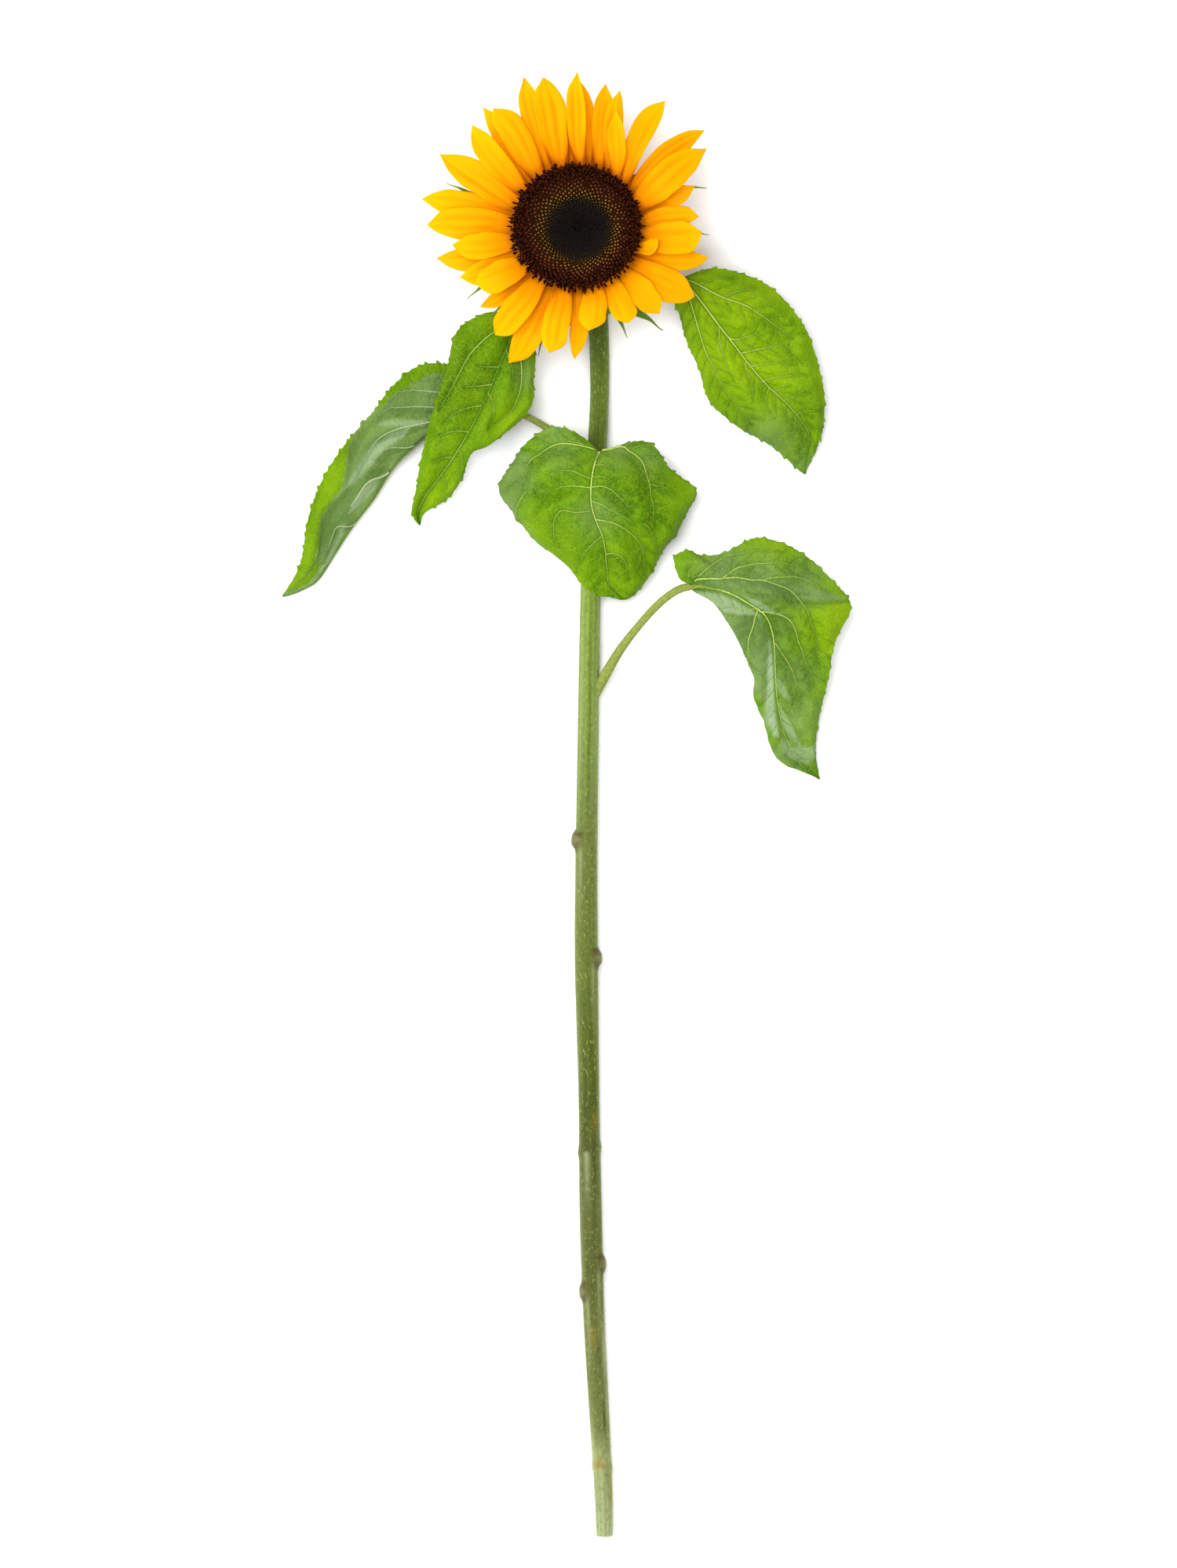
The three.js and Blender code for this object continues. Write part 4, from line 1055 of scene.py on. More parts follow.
def ray_piece(number, shape):
    """A ray floret on the whorl's height. Over its spine it is
    lift (v^2 - 0.4) + tilt v - valleys + edge waves + tip, v running from -1 at its left edge to 1
    at its right one: two soft valleys a third of the way out from the spine, edges that wave a
    little, a root channelled like a gutter, and a tip that turns up or down and to one side."""
    bearing, middle, tip, left, right, tier, widest, blunt, lift, tilt, tip_lift = shape
    rng = np.random.default_rng(RAY_SEED + number)
    u = np.linspace(0, 1, RAY_ROWS)
    v = np.linspace(-1, 1, RAY_COLUMNS)[None, :]
    row = u[:, None]
    root = polar(RAY_ROOT_RADIUS - RAY_TUCK, bearing) * [1, DISC_SQUASH]
    centre, side = plan_spine(root, middle, tip, u)
    hook = rng.uniform(-RAY_HOOK, RAY_HOOK) * ease(u, 0.7, 1.0) ** 2
    sway = RAY_SWAY * np.sin(2 * np.pi * (u * rng.uniform(0.6, 1.1) + rng.uniform()))
    centre = centre + side * (hook + sway * ease(u, 0.1, 0.5))[:, None]

    # The two edges bulge and draw in at places of their own.
    places = widest + rng.uniform(-0.05, 0.05, 2)
    halves = [width * ray_outline(u, place, blunt) for width, place in zip((left, right), places)]
    ragged = 1 + soft_noise(rng, (RAY_ROWS, 2), 4, RAY_RAGGED) * ease(row, 0.2, 0.5)
    edges = np.stack(halves, -1) * ragged
    half = np.where(v < 0, edges[:, :1], edges[:, 1:])
    across = half * v
    x = centre[:, :1] + side[:, :1] * across
    y = centre[:, 1:] + side[:, 1:] * across

    out = ease(row, 0.1, 0.6)
    size = (left + right) / 12
    z = whorl_height(x, y, tier * TIER_STEP) + ease(row, 0.05, 0.5) * TIER_SPREAD * (2 - tier)
    gutter = mix(GUTTER_RISE, lift, ease(row, 0.0, 0.45)) * (half / max(left, right)) * size
    z = z + gutter * (v**2 - 0.4) + tilt * v * out * half / max(left, right)
    valley = rng.uniform(*VALLEY_PLACES, 2)
    deep = rng.uniform(*VALLEY_DEPTHS, 2) * size
    hollows = deep[0] * bell(v + valley[0], VALLEY_WIDTH)
    hollows = hollows + deep[1] * bell(v - valley[1], VALLEY_WIDTH)
    fade = ease(row, 0.02, 0.25) * (1 - 0.75 * ease(row, 0.6, 0.95))
    z = z - hollows * fade
    waves = rng.uniform(0, 2 * np.pi, 2)
    turns = np.where(v < 0, waves[0] + 9 * row, waves[1] + 8 * row)
    z = z + EDGE_WAVE * np.sin(turns) * np.abs(v) ** 3 * out
    z = z + (tip_lift + rng.uniform(-0.5, 0.3)) * ease(row, 0.7, 1.0) ** 2
    unevenness = soft_noise(rng, (RAY_ROWS, RAY_COLUMNS), 1.6, RAY_UNEVENNESS)
    z = z + unevenness * out * (1.0 if tier == 0 else 0.6)
    thickness = RAY_THICKNESS * (1 - 0.6 * np.abs(v) ** 4)
    thickness = thickness + ROOT_THICKNESS * (1 - ease(row, 0, 0.3))
    upper, lower = thickened(np.stack([x, y, z], -1), thickness)

    length = np.linalg.norm(np.array(tip) - root)
    uv = np.stack(np.broadcast_arrays(row * length / 45, across / 12 + 0.5 + number), -1)
    shade = 0.75 * (1 - ease(row, 0.04, 0.42)) * np.abs(v) ** 3 + 0.35 * (1 - ease(row, 0.0, 0.16))
    to_right, to_top = polar(1.0, bearing)
    shade = shade * (1.2 + 0.8 * max(0.0, to_top) + (0.75 if to_right < 0 else -0.3) * to_right)
    zero = np.zeros_like(x)
    along = zero + row
    # A random hue for each ray, plus painted shade that grows with the tier, for rays lying under
    # others.
    warmth = zero + rng.uniform(0, 0.7) + 0.15 * tier
    # The depth of the valleys goes to the material for painted shade in them.
    made = shell(
        upper, lower, uv, along=(along, along), groove=(hollows / (0.7 * size) * fade, zero),
        underside=(zero, zero + 1), warmth=(warmth, warmth), shade=(shade, shade),
    )
    add_piece(f"ray_floret_{number:02d}", made, RAY, [f"ray_{number:02d}"])


# ------------------------------------------------------------------ bracts

# Each bract: bearing of its root, bearing and reach of its tip, how far the tip curls sideways,
# how far it curls down, and its width over that of the others.
BRACTS = [
    (82, 84, 63.5, 0.2, 1.0, 1), (60, 58, 58, -0.2, 2.0, 1), (38, 41, 54, 0.2, 2.0, 1),
    (22, 17, 69, 0.1, 1.0, 1.1), (356, 358, 67, 0.3, 1.5, 1), (335, 333, 58, -0.2, 2.0, 1),
    (302, 312, 67, 0.5, 1.5, 1.5), (294, 295, 62, 0.1, 3.0, 1), (271, 269, 56, 0.1, 2.0, 1),
    (251, 254, 68.5, 0.1, 2.0, 1), (230, 225, 63, -0.2, 1.0, 1), (209, 215, 66, 0.3, 1.0, 1),
    (187, 186, 58, 0.1, 2.0, 1), (164, 160, 69, -0.3, 1.0, 1), (137, 138, 60, 0.2, 2.0, 1),
    (109, 108, 60, -0.2, 2.0, 1),
]
BRACT_WIDTH = 11.5
BRACT_WIDEST = 0.3  # share of the way from its root to its tip
BRACT_KEEL = 0.6
BRACT_THICKNESS = 0.6
BRACT_STEPS = (-0.2, 0.8)  # every other bract's root lies over its neighbours'
BRACT_ROWS, BRACT_COLUMNS = 44, 11


def bract_outline(along):
    """Half width over its largest: a broad base that grows as a sine from 0.8 to 1, drawn out to a
    long fine point as 0.03 + 0.97 (1 - f)^1.7, f being the share of the way to the tip."""
    swell = 0.8 + 0.2 * np.sin(np.pi / 2 * np.clip(along / BRACT_WIDEST, 0, 1))
    fall = np.clip((along - BRACT_WIDEST) / (1 - BRACT_WIDEST), 0, 1)
    return np.where(along < BRACT_WIDEST, swell, 0.03 + 0.97 * (1 - fall) ** 1.7)


def bract_piece(number, shape):
    """A bract: the plan outline on a surface under the rays that runs down the receptacle's side,
    with a keel, edges that roll and a tip that curls."""
    bearing, tip_bearing, reach, sway, curl, wide = shape
    rng = np.random.default_rng(BRACT_SEED + number)
    u = np.linspace(0, 1, BRACT_ROWS)
    v = np.linspace(-1, 1, BRACT_COLUMNS)
    root = polar(BRACT_ROOT_RADIUS - 2, bearing)
    middle = polar((BRACT_ROOT_RADIUS + reach) / 2, bearing + rng.uniform(-1, 1))
    centre, side = plan_spine(root, middle, polar(reach, tip_bearing), u)
    centre = centre + side * (sway * 6 * ease(u, 0.75, 1.0) ** 2)[:, None]
    half = wide * BRACT_WIDTH / 2 * bract_outline(u)
    across = half[:, None] * v[None, :]
    x = centre[:, :1] + side[:, :1] * across
    y = centre[:, 1:] + side[:, 1:] * across
    inward = np.maximum(0, BRACT_SHOULDER - np.hypot(x, y)) / (BRACT_SHOULDER - BRACT_ROOT_RADIUS)
    z = whorl_height(x, y, BRACT_DEPTH) - BRACT_ROOT_DROP * inward**2
    z = z + BRACT_STEPS[number % 2] * (1 - ease(u, 0.4, 0.8))[:, None]
    z = z - BRACT_KEEL * (1 - v**2)[None, :] * (half / 5)[:, None]
    z = z - curl * ease(u, 0.65, 1.0)[:, None] ** 2
    z = z + soft_noise(rng, x.shape, 1.5, 0.5)
    thickness = BRACT_THICKNESS * (1 - 0.6 * np.abs(v)[None, :] ** 3)
    thickness = thickness * (1 - 0.5 * ease(u, 0.5, 1))[:, None]
    upper, lower = thickened(np.stack([x, y, z], -1), thickness)
    uv = np.stack(np.broadcast_arrays(u[:, None], across / 12), -1)
    edge = np.abs(v)[None, :] ** 4 * np.ones_like(x)
    tip = ease(u, 0.8, 1.0)[:, None] * np.ones_like(x)
    made = shell(upper, lower, uv, edge=(edge, edge), tip=(tip, tip))
    add_piece(f"bract_blade_{number:02d}", made, BRACT, [f"bract_{number:02d}"])


# ------------------------------------------------------------------ leaves

# Each leaf is carried by three lines with matching stations from root to tip: its left edge, its
# midrib and its right edge. Its radii are those of its petiole at the stem and at the blade.
# Veins, folds, tints and patches are read over the plan. A vein is (half, width, points), where
# half is -1 or 1 to keep it on one half of a folded blade, and 0 otherwise. A fold is (height,
# width, points), a ridge above 0 and a valley below it. A tint is (kind, x, y, radius, amount),
# and a patch is (kind, amount, softness of its edge, outline). Tints and patches paint light and
# shade: the lit kind is painted light, the deep kind painted shade, the greyish kind a painted
# sheen and the whitish kind painted highlights where the blade would mirror the light. The waves
# scale the teeth and the waves of the left and the right margin, the twigs say whether small
# veins are added, and the midrib's paleness is given at four places from root to tip.
LEAVES = {}
LEAVES["leaf_upper_right"] = {
    "petiole": [(10.8, -44, 5.6), (20, -40, 8), (34, -33, 12), (46, -28.5, 15), (56, -28, 16.6)],
    "radii": (2.6, 1.6),
    "left": [
        (54, -25.5, 16.4), (62, -22.5, 18), (71, -21, 19), (83, -23.5, 19.5), (97, -29.5, 19),
        (108.5, -40.5, 17.5), (118, -55, 15.5), (125, -79, 12), (126, -95, 8.5), (123.5, -109, 5),
        (116.4, -125, 1.2),
    ],
    "midrib": [
        (54, -27.2, 16.3), (58, -31, 16.6), (64, -38.5, 16.4), (72, -49.5, 15.6), (80, -59.5, 14.4),
        (88, -70, 12.8), (98, -81.5, 11), (107, -89.5, 9.2), (114.5, -98.5, 6.8),
        (118.5, -107, 4.2), (116, -125.5, 1),
    ],
    "right": [
        (53.2, -29, 16.2), (50, -37, 13.5), (52.5, -46, 11), (58, -62, 8.5), (63, -75, 6.4),
        (69, -90, 4.6), (79, -98.5, 3.4), (93, -107.5, 2.4), (104, -114.5, 1.8), (110.5, -121, 1.3),
        (115.5, -125.2, 0.9),
    ],
    "veins": [
        (0, 1.1, [(56, -27), (68, -32.5), (84, -39), (92, -43.5), (103, -51.5), (110, -56.5)]),
        (0, 0.7, [(60, -29), (66, -27.5), (72, -25.5), (80, -26.5)]),
        (0, 0.7, [(76, -35), (80, -33), (86, -31.5), (91, -31)]),
        (0, 0.6, [(92, -43), (94, -40.5), (99, -39.5)]),
        (0, 0.9, [(76, -55), (80, -57), (90, -54.5), (93, -53.5)]),
        (0, 0.9, [(84, -64), (92, -62), (100, -60.5), (108, -60)]),
        (0, 0.8, [(88, -71), (93, -69.5), (99, -68.5), (112, -69)]),
        (0, 0.8, [(94, -78.5), (100, -76.5), (106, -75), (112, -74.5), (118, -75.5)]),
        (0, 0.7, [(100, -83.5), (104, -82), (109, -80)]),
        (0, 0.7, [(105, -88), (110, -86), (119, -83)]),
        (0, 0.6, [(112, -95), (116, -93), (124, -92.5)]),
        (0, 0.8, [(86, -67), (86.5, -73), (89.5, -81), (90, -88)]),
        (0, 0.7, [(98, -82), (96.5, -86), (96.5, -90), (101, -96)]),
        (0, 0.6, [(113.5, -98), (112, -102), (110, -105)]),
        (0, 1.1, [(56, -30), (57.5, -36), (61, -48), (65.5, -63), (69.5, -70.5), (79, -87.5),
            (89, -100)]),
        (0, 0.8, [(72, -50), (73, -58), (76, -68), (81, -78)]),
    ],
    "folds": [
        (1.0, 5, [(80, -30), (95, -37), (108, -48)]),
        (-0.8, 4, [(72, -62), (80, -80), (92, -97)]),
    ],
    "tints": [
        ("deep", 100, -45, 9, 0.4), ("deep", 88, -28, 10, 0.4), ("grey", 97, -110, 13, 0.7),
        ("grey", 114, -120, 8, 0.4), ("lit", 76, -52, 32, 1.35), ("lit", 96, -78, 28, 1.2),
        ("lit", 84, -36, 12, 0.8), ("deep", 122, -90, 12, 0.6), ("deep", 88, -104, 8, 0.6),
        ("deep", 104, -106, 10, 0.7), ("deep", 108, -68, 6, 0.5), ("lit", 80, -42, 13, 1.3),
    ],
}
LEAVES["leaf_upper_left"] = {
    "midrib_paleness": (0.1, 0.1, 0.8, 1),
    "twigs": False,
    "petiole": [
        (11, -49, 5.6), (2, -48.5, 8), (-10, -47.5, 12), (-20, -46.5, 15.2), (-31, -48, 17),
    ],
    "radii": (2.6, 1.6),
    "left": [
        (-27, -46, 17), (-23, -53, 17.5), (-21.5, -64, 17.5), (-21.5, -76, 17), (-22.5, -87, 16),
        (-28.5, -98.5, 15), (-41, -107.5, 14), (-52.5, -111.5, 14.5), (-58, -126, 11),
        (-67, -139.5, 7.5), (-77.5, -144.6, 5), (-79.6, -151.2, 4.2),
    ],
    "midrib": [
        (-29, -46.3, 17), (-31, -51, 18), (-34.5, -59, 19), (-39, -70, 20), (-44, -82, 20.4),
        (-50, -95, 20.2), (-56, -106, 19.4), (-62, -116, 17.4), (-69, -126, 14.4),
        (-76.5, -136, 10.6), (-81, -145, 6.8), (-80, -151.5, 4.3),
    ],
    "right": [
        (-31, -45.6, 17), (-42, -43, 17.5), (-55, -47.5, 17.8), (-62, -55.5, 18), (-65.5, -69, 18),
        (-70.5, -86, 17.6), (-76, -104, 16.8), (-79.5, -121, 14), (-82, -134, 11),
        (-84, -143.5, 7.6), (-83.6, -147.4, 6), (-80.4, -151.4, 4.4),
    ],
    "veins": [
        (1, 1.0, [(-32, -48), (-40, -52), (-50, -60), (-57, -69), (-63, -81), (-70, -93)]),
        (0, 0.8, [(-39.5, -71), (-44, -71.5), (-50, -71)]),
        (0, 0.8, [(-43, -80), (-50, -81), (-57, -81.5)]),
        (0, 0.8, [(-48.5, -91), (-54, -91.5), (-60, -94), (-67, -99.5)]),
        (0, 0.7, [(-62, -117), (-67, -117), (-73, -118.5)]),
        (0, 0.8, [(-55, -104), (-62, -103.5), (-70, -106)]),
        (-1, 1.0, [(-30, -52), (-28.5, -67), (-28, -75), (-29, -83), (-31, -89), (-34, -94),
            (-42, -100)]),
        (0, 0.7, [(-36, -62), (-33, -72), (-33, -82)]),
        (0, 0.7, [(-45, -84), (-42, -92), (-45, -102)]),
        (0, 0.6, [(-60, -113), (-59, -120), (-62, -128)]),
        (0, 0.6, [(-69, -126), (-67, -133), (-70, -139)]),
    ],
    "folds": [
        (1.2, 4, [(-40, -76), (-30, -80), (-25, -88)]),
        (-0.8, 4, [(-55, -62), (-64, -82), (-71, -102)]),
    ],
    "tints": [
        ("deep", -60, -62, 16, 0.8), ("deep", -67, -84, 15, 1.0), ("deep", -50, -72, 14, 0.6),
        ("lit", -70, -136, 12, 0.7), ("lit", -36, -98, 13, 0.8), ("grey", -25, -75, 7, 0.5),
        ("deep", -68, -76, 9, 1.2),
    ],
}
LEAVES["leaf_far_left"] = {
    "twigs": False,
    "petiole": [
        (7, -120, 5.4), (-2, -110.5, 6.4), (-15, -102, 7.6), (-26, -96, 8.6), (-38, -92.6, 9.2),
        (-52, -92, 9.4),
    ],
    "radii": (2.4, 1.7),
    "left": [
        (-50, -90.4, 9.8), (-60, -81, 11.6), (-70, -74, 12.6), (-82, -79, 13.4), (-96, -88, 14.6),
        (-107, -98, 15), (-116, -112, 14.6), (-120, -133, 13), (-130, -148, 10.4),
        (-132.5, -166, 7.4), (-138, -177, 4.4), (-149.4, -187, 1.5),
    ],
    "midrib": [
        (-49, -91.4, 9.3), (-57, -94.5, 8.8), (-67, -99.5, 8), (-77, -105, 7.2), (-88, -115, 6.4),
        (-97, -126, 5.6), (-105, -139, 5), (-115, -153, 4.2), (-125, -168, 3.2), (-133, -180, 2.2),
        (-141, -185, 1.5), (-150, -187.6, 0.9),
    ],
    "right": [
        (-50, -90.2, 8.6), (-58, -76, 5), (-68, -69.5, 3.4), (-82, -71, 2.4), (-95, -82, 1.9),
        (-105, -95.5, 1.6), (-117, -109, 1.3), (-130, -129, 1.1), (-137, -149, 1),
        (-140, -168, 0.9), (-144, -178, 0.8), (-149.8, -186.8, 0.6),
    ],
    "veins": [
        (-1, 1.2, [(-96, -124), (-105, -128), (-112, -137), (-117, -144), (-122, -151)]),
        (-1, 0.9, [(-112, -150), (-121, -152), (-126, -161), (-129, -170)]),
        (-1, 1.2, [(-70, -98), (-80, -100), (-90, -102), (-100, -107), (-108, -117), (-114, -128)]),
        (-1, 0.9, [(-66, -93), (-74, -91.5), (-90, -91.5), (-97, -92.5), (-101, -97)]),
        (-1, 0.9, [(-64, -86), (-72, -83.5), (-80, -83), (-90, -84.5), (-96, -89)]),
        (-1, 0.9, [(-82, -109), (-90, -112), (-98, -113), (-104, -120), (-110, -133)]),
        (-1, 0.7, [(-60, -84), (-70, -78), (-80, -79)]),
    ],
    "folds": [(-1.2, 5, [(-98, -118), (-108, -132), (-118, -150)])],
    "tints": [
        ("lit", -112, -96, 12, 0.4), ("lit", -126, -130, 14, 0.6), ("lit", -138, -165, 16, 0.3),
        ("deep", -117, -148, 7, 0.6), ("deep", -101, -128, 5, 0.5), ("deep", -127, -160, 8, 0.6),
        ("deep", -74, -86, 8, 0.4), ("deep", -87, -87, 8, 0.3), ("deep", -129, -157, 9, 0.5),
    ],
    "patches": [
        ("deep", 0.75, 2.5, [(-95, -120), (-104, -123), (-112, -130), (-121, -137), (-130, -143),
            (-133, -158), (-131, -172), (-126, -166), (-122, -154), (-117, -143), (-109, -132),
            (-100, -126)]),
        ("deep", 0.6, 2, [(-70, -92.5), (-84, -91), (-98, -92.5), (-92, -97), (-82, -98),
            (-71, -96)]),
        ("deep", 0.5, 2, [(-84, -103), (-94, -102), (-104, -107), (-111, -117), (-104, -112),
            (-94, -107)]),
        ("deep", 0.5, 2, [(-86, -112), (-96, -113), (-105, -118), (-99, -121), (-90, -118)]),
        ("deep", 0.45, 2, [(-104, -100), (-112, -105), (-118, -114), (-116, -124), (-110, -112)]),
        ("bloom", 0.5, 2, [(-84, -101), (-94, -104.5), (-104, -111), (-111, -121), (-119, -134),
            (-113, -130), (-105, -121), (-97, -112), (-88, -107)]),
        ("bloom", 0.4, 1.5, [(-76, -98), (-88, -98.5), (-98, -98), (-102, -101), (-90, -101),
            (-78, -101)]),
        ("bloom", 0.5, 1.5, [(-99, -125), (-106, -129), (-113, -137), (-117, -146), (-111, -142),
            (-103, -133)]),
        ("bloom", 0.4, 1.5, [(-118, -150), (-123, -158), (-128, -169), (-131, -176), (-125, -168),
            (-119, -157)]),
    ],
}
LEAVES["leaf_centre"] = {
    "petiole": [
        (8.4, -146, 7), (8.8, -138, 13), (10, -128, 18), (11.4, -119.5, 21.6), (11.4, -113, 24),
    ],
    "radii": (2.4, 1.8),
    "left": [
        (12.4, -113.6, 24.4), (19, -112.6, 24.6), (30, -109, 23.8), (38.5, -111, 21.6),
        (46, -121, 18.6), (53, -127.5, 15.4), (61.5, -136, 11), (53.5, -149.5, 10), (46, -162, 9),
        (37.5, -175, 8), (29.5, -187, 7.6), (25, -189.6, 7.6),
    ],
    "midrib": [
        (11.6, -114.4, 24.6), (10.4, -117.5, 26), (9, -121, 27.2), (7.8, -127, 28), (7.2, -134, 28),
        (7.6, -142, 27), (10, -150, 25), (13, -157, 22.4), (14.6, -165, 19), (15.3, -173, 15.4),
        (16.6, -182, 11.6), (23.6, -189.4, 7.8),
    ],
    "right": [
        (10.8, -113.6, 24.2), (4, -107.6, 24), (-4, -103.4, 22), (-14, -101.8, 19.4),
        (-24, -109, 15), (-33, -119.5, 10.6), (-38.8, -132.5, 6.4), (-33.5, -145, 4.6),
        (-20, -159, 4), (-7, -170.5, 4.4), (6, -183.4, 5.2), (22, -189.6, 7.6),
    ],
    "veins": [
        (0, 1.1, [(13, -113.6), (20, -112.5), (26, -113.5), (30, -116), (33.5, -119.5), (35, -124),
            (36.5, -131), (38, -140), (38.8, -147), (39.2, -153)]),
        (0, 0.6, [(37, -131), (42, -132), (46, -134), (48.5, -137)]),
        (0, 0.6, [(28, -113), (34, -111.5), (38, -112.5), (43, -116)]),
        (0, 0.7, [(9.5, -121), (14, -121.5), (19, -124)]),
        (0, 0.7, [(8, -127), (14, -127.5), (20, -131)]),
        (0, 0.9, [(7.5, -132.5), (12, -132), (17, -133.5), (21, -136.5), (25, -141), (28, -145)]),
        (0, 0.8, [(7.5, -139.5), (13, -141), (19, -144.5), (25, -148), (29, -151)]),
        (0, 0.9, [(10, -149), (17, -150), (23, -152.5), (28, -156), (32, -161), (34, -168),
            (34, -176)]),
        (0, 0.7, [(33, -150), (36, -153), (38, -157), (39.5, -164)]),
        (0, 0.8, [(15, -166.5), (19, -165.5), (23, -167.5), (25, -172), (26.5, -178)]),
        (0, 0.7, [(4, -111), (-3, -109.5), (-10, -105.5), (-17, -107)]),
        (0, 1.0, [(9, -113.5), (0, -111), (-8, -110), (-15, -113), (-20, -117), (-24, -121),
            (-26, -126), (-26, -131)]),
        (0, 0.8, [(7, -128), (0, -125), (-6, -124), (-12, -125)]),
        (0, 0.9, [(7, -132.7), (1, -132), (-5, -132), (-11, -133.5), (-17, -136)]),
        (0, 0.8, [(7, -144.3), (0, -144.5), (-6, -143.5), (-9, -146), (-10.5, -152), (-9.5, -158),
            (-7, -161)]),
        (0, 0.7, [(-24, -134), (-27, -141), (-29, -147), (-31, -150)]),
        (0, 0.7, [(13, -157), (7.5, -161), (5, -164), (3.5, -169), (2, -174)]),
        (0, 0.5, [(14, -158.8), (11, -159.5)]),
    ],
    "folds": [
        (1.3, 4, [(12, -145), (25, -149.5), (38, -152), (49, -157)]),
        (-1.0, 2.4, [(18, -167), (23, -168.5), (26, -178)]),
        (1.6, 4, [(-21, -118), (-25, -130), (-28, -142), (-31, -149)]),
        (-1.2, 5, [(0, -128), (-10, -129), (-18, -134)]),
        (0.9, 4, [(2, -138), (-8, -139), (-18, -143)]),
    ],
    "tints": [
        ("grey", -30, -128, 9, 0.8), ("grey", -34, -138, 8, 0.6), ("grey", -12, -104, 9, 0.5),
        ("grey", 10, -146, 10, 0.4), ("grey", 20, -114, 9, 0.5), ("grey", 37, -118, 8, 0.4),
        ("deep", 26, -133, 10, 0.6), ("deep", 38, -132, 9, 0.6), ("deep", 41, -148, 7, 0.5),
        ("deep", 22, -170, 4, 0.6), ("deep", 0, -121, 5, 0.4), ("grey", -8, -114, 10, 0.45),
        ("lit", -2, -172, 11, 0.35), ("lit", 36, -163, 8, 0.6), ("lit", 22, -178, 9, 0.5),
        ("lit", -21, -152, 8, 0.4), ("lit", 54, -134, 7, 0.5), ("deep", -13, -147, 11, 0.4),
        ("deep", -3, -157, 9, 0.4), ("deep", 9, -148, 6, 0.4), ("deep", -33, -134, 9, 0.4),
    ],
    "patches": [
        ("grey", 0.75, 3, [(-22, -117), (-25, -124), (-26, -132), (-28, -142), (-31, -152),
            (-44, -152), (-44, -112), (-30, -112)]),
        ("deep", 0.5, 2.5, [(15, -166.5), (23, -167.5), (26, -179), (22, -181), (16, -176)]),
    ],
}
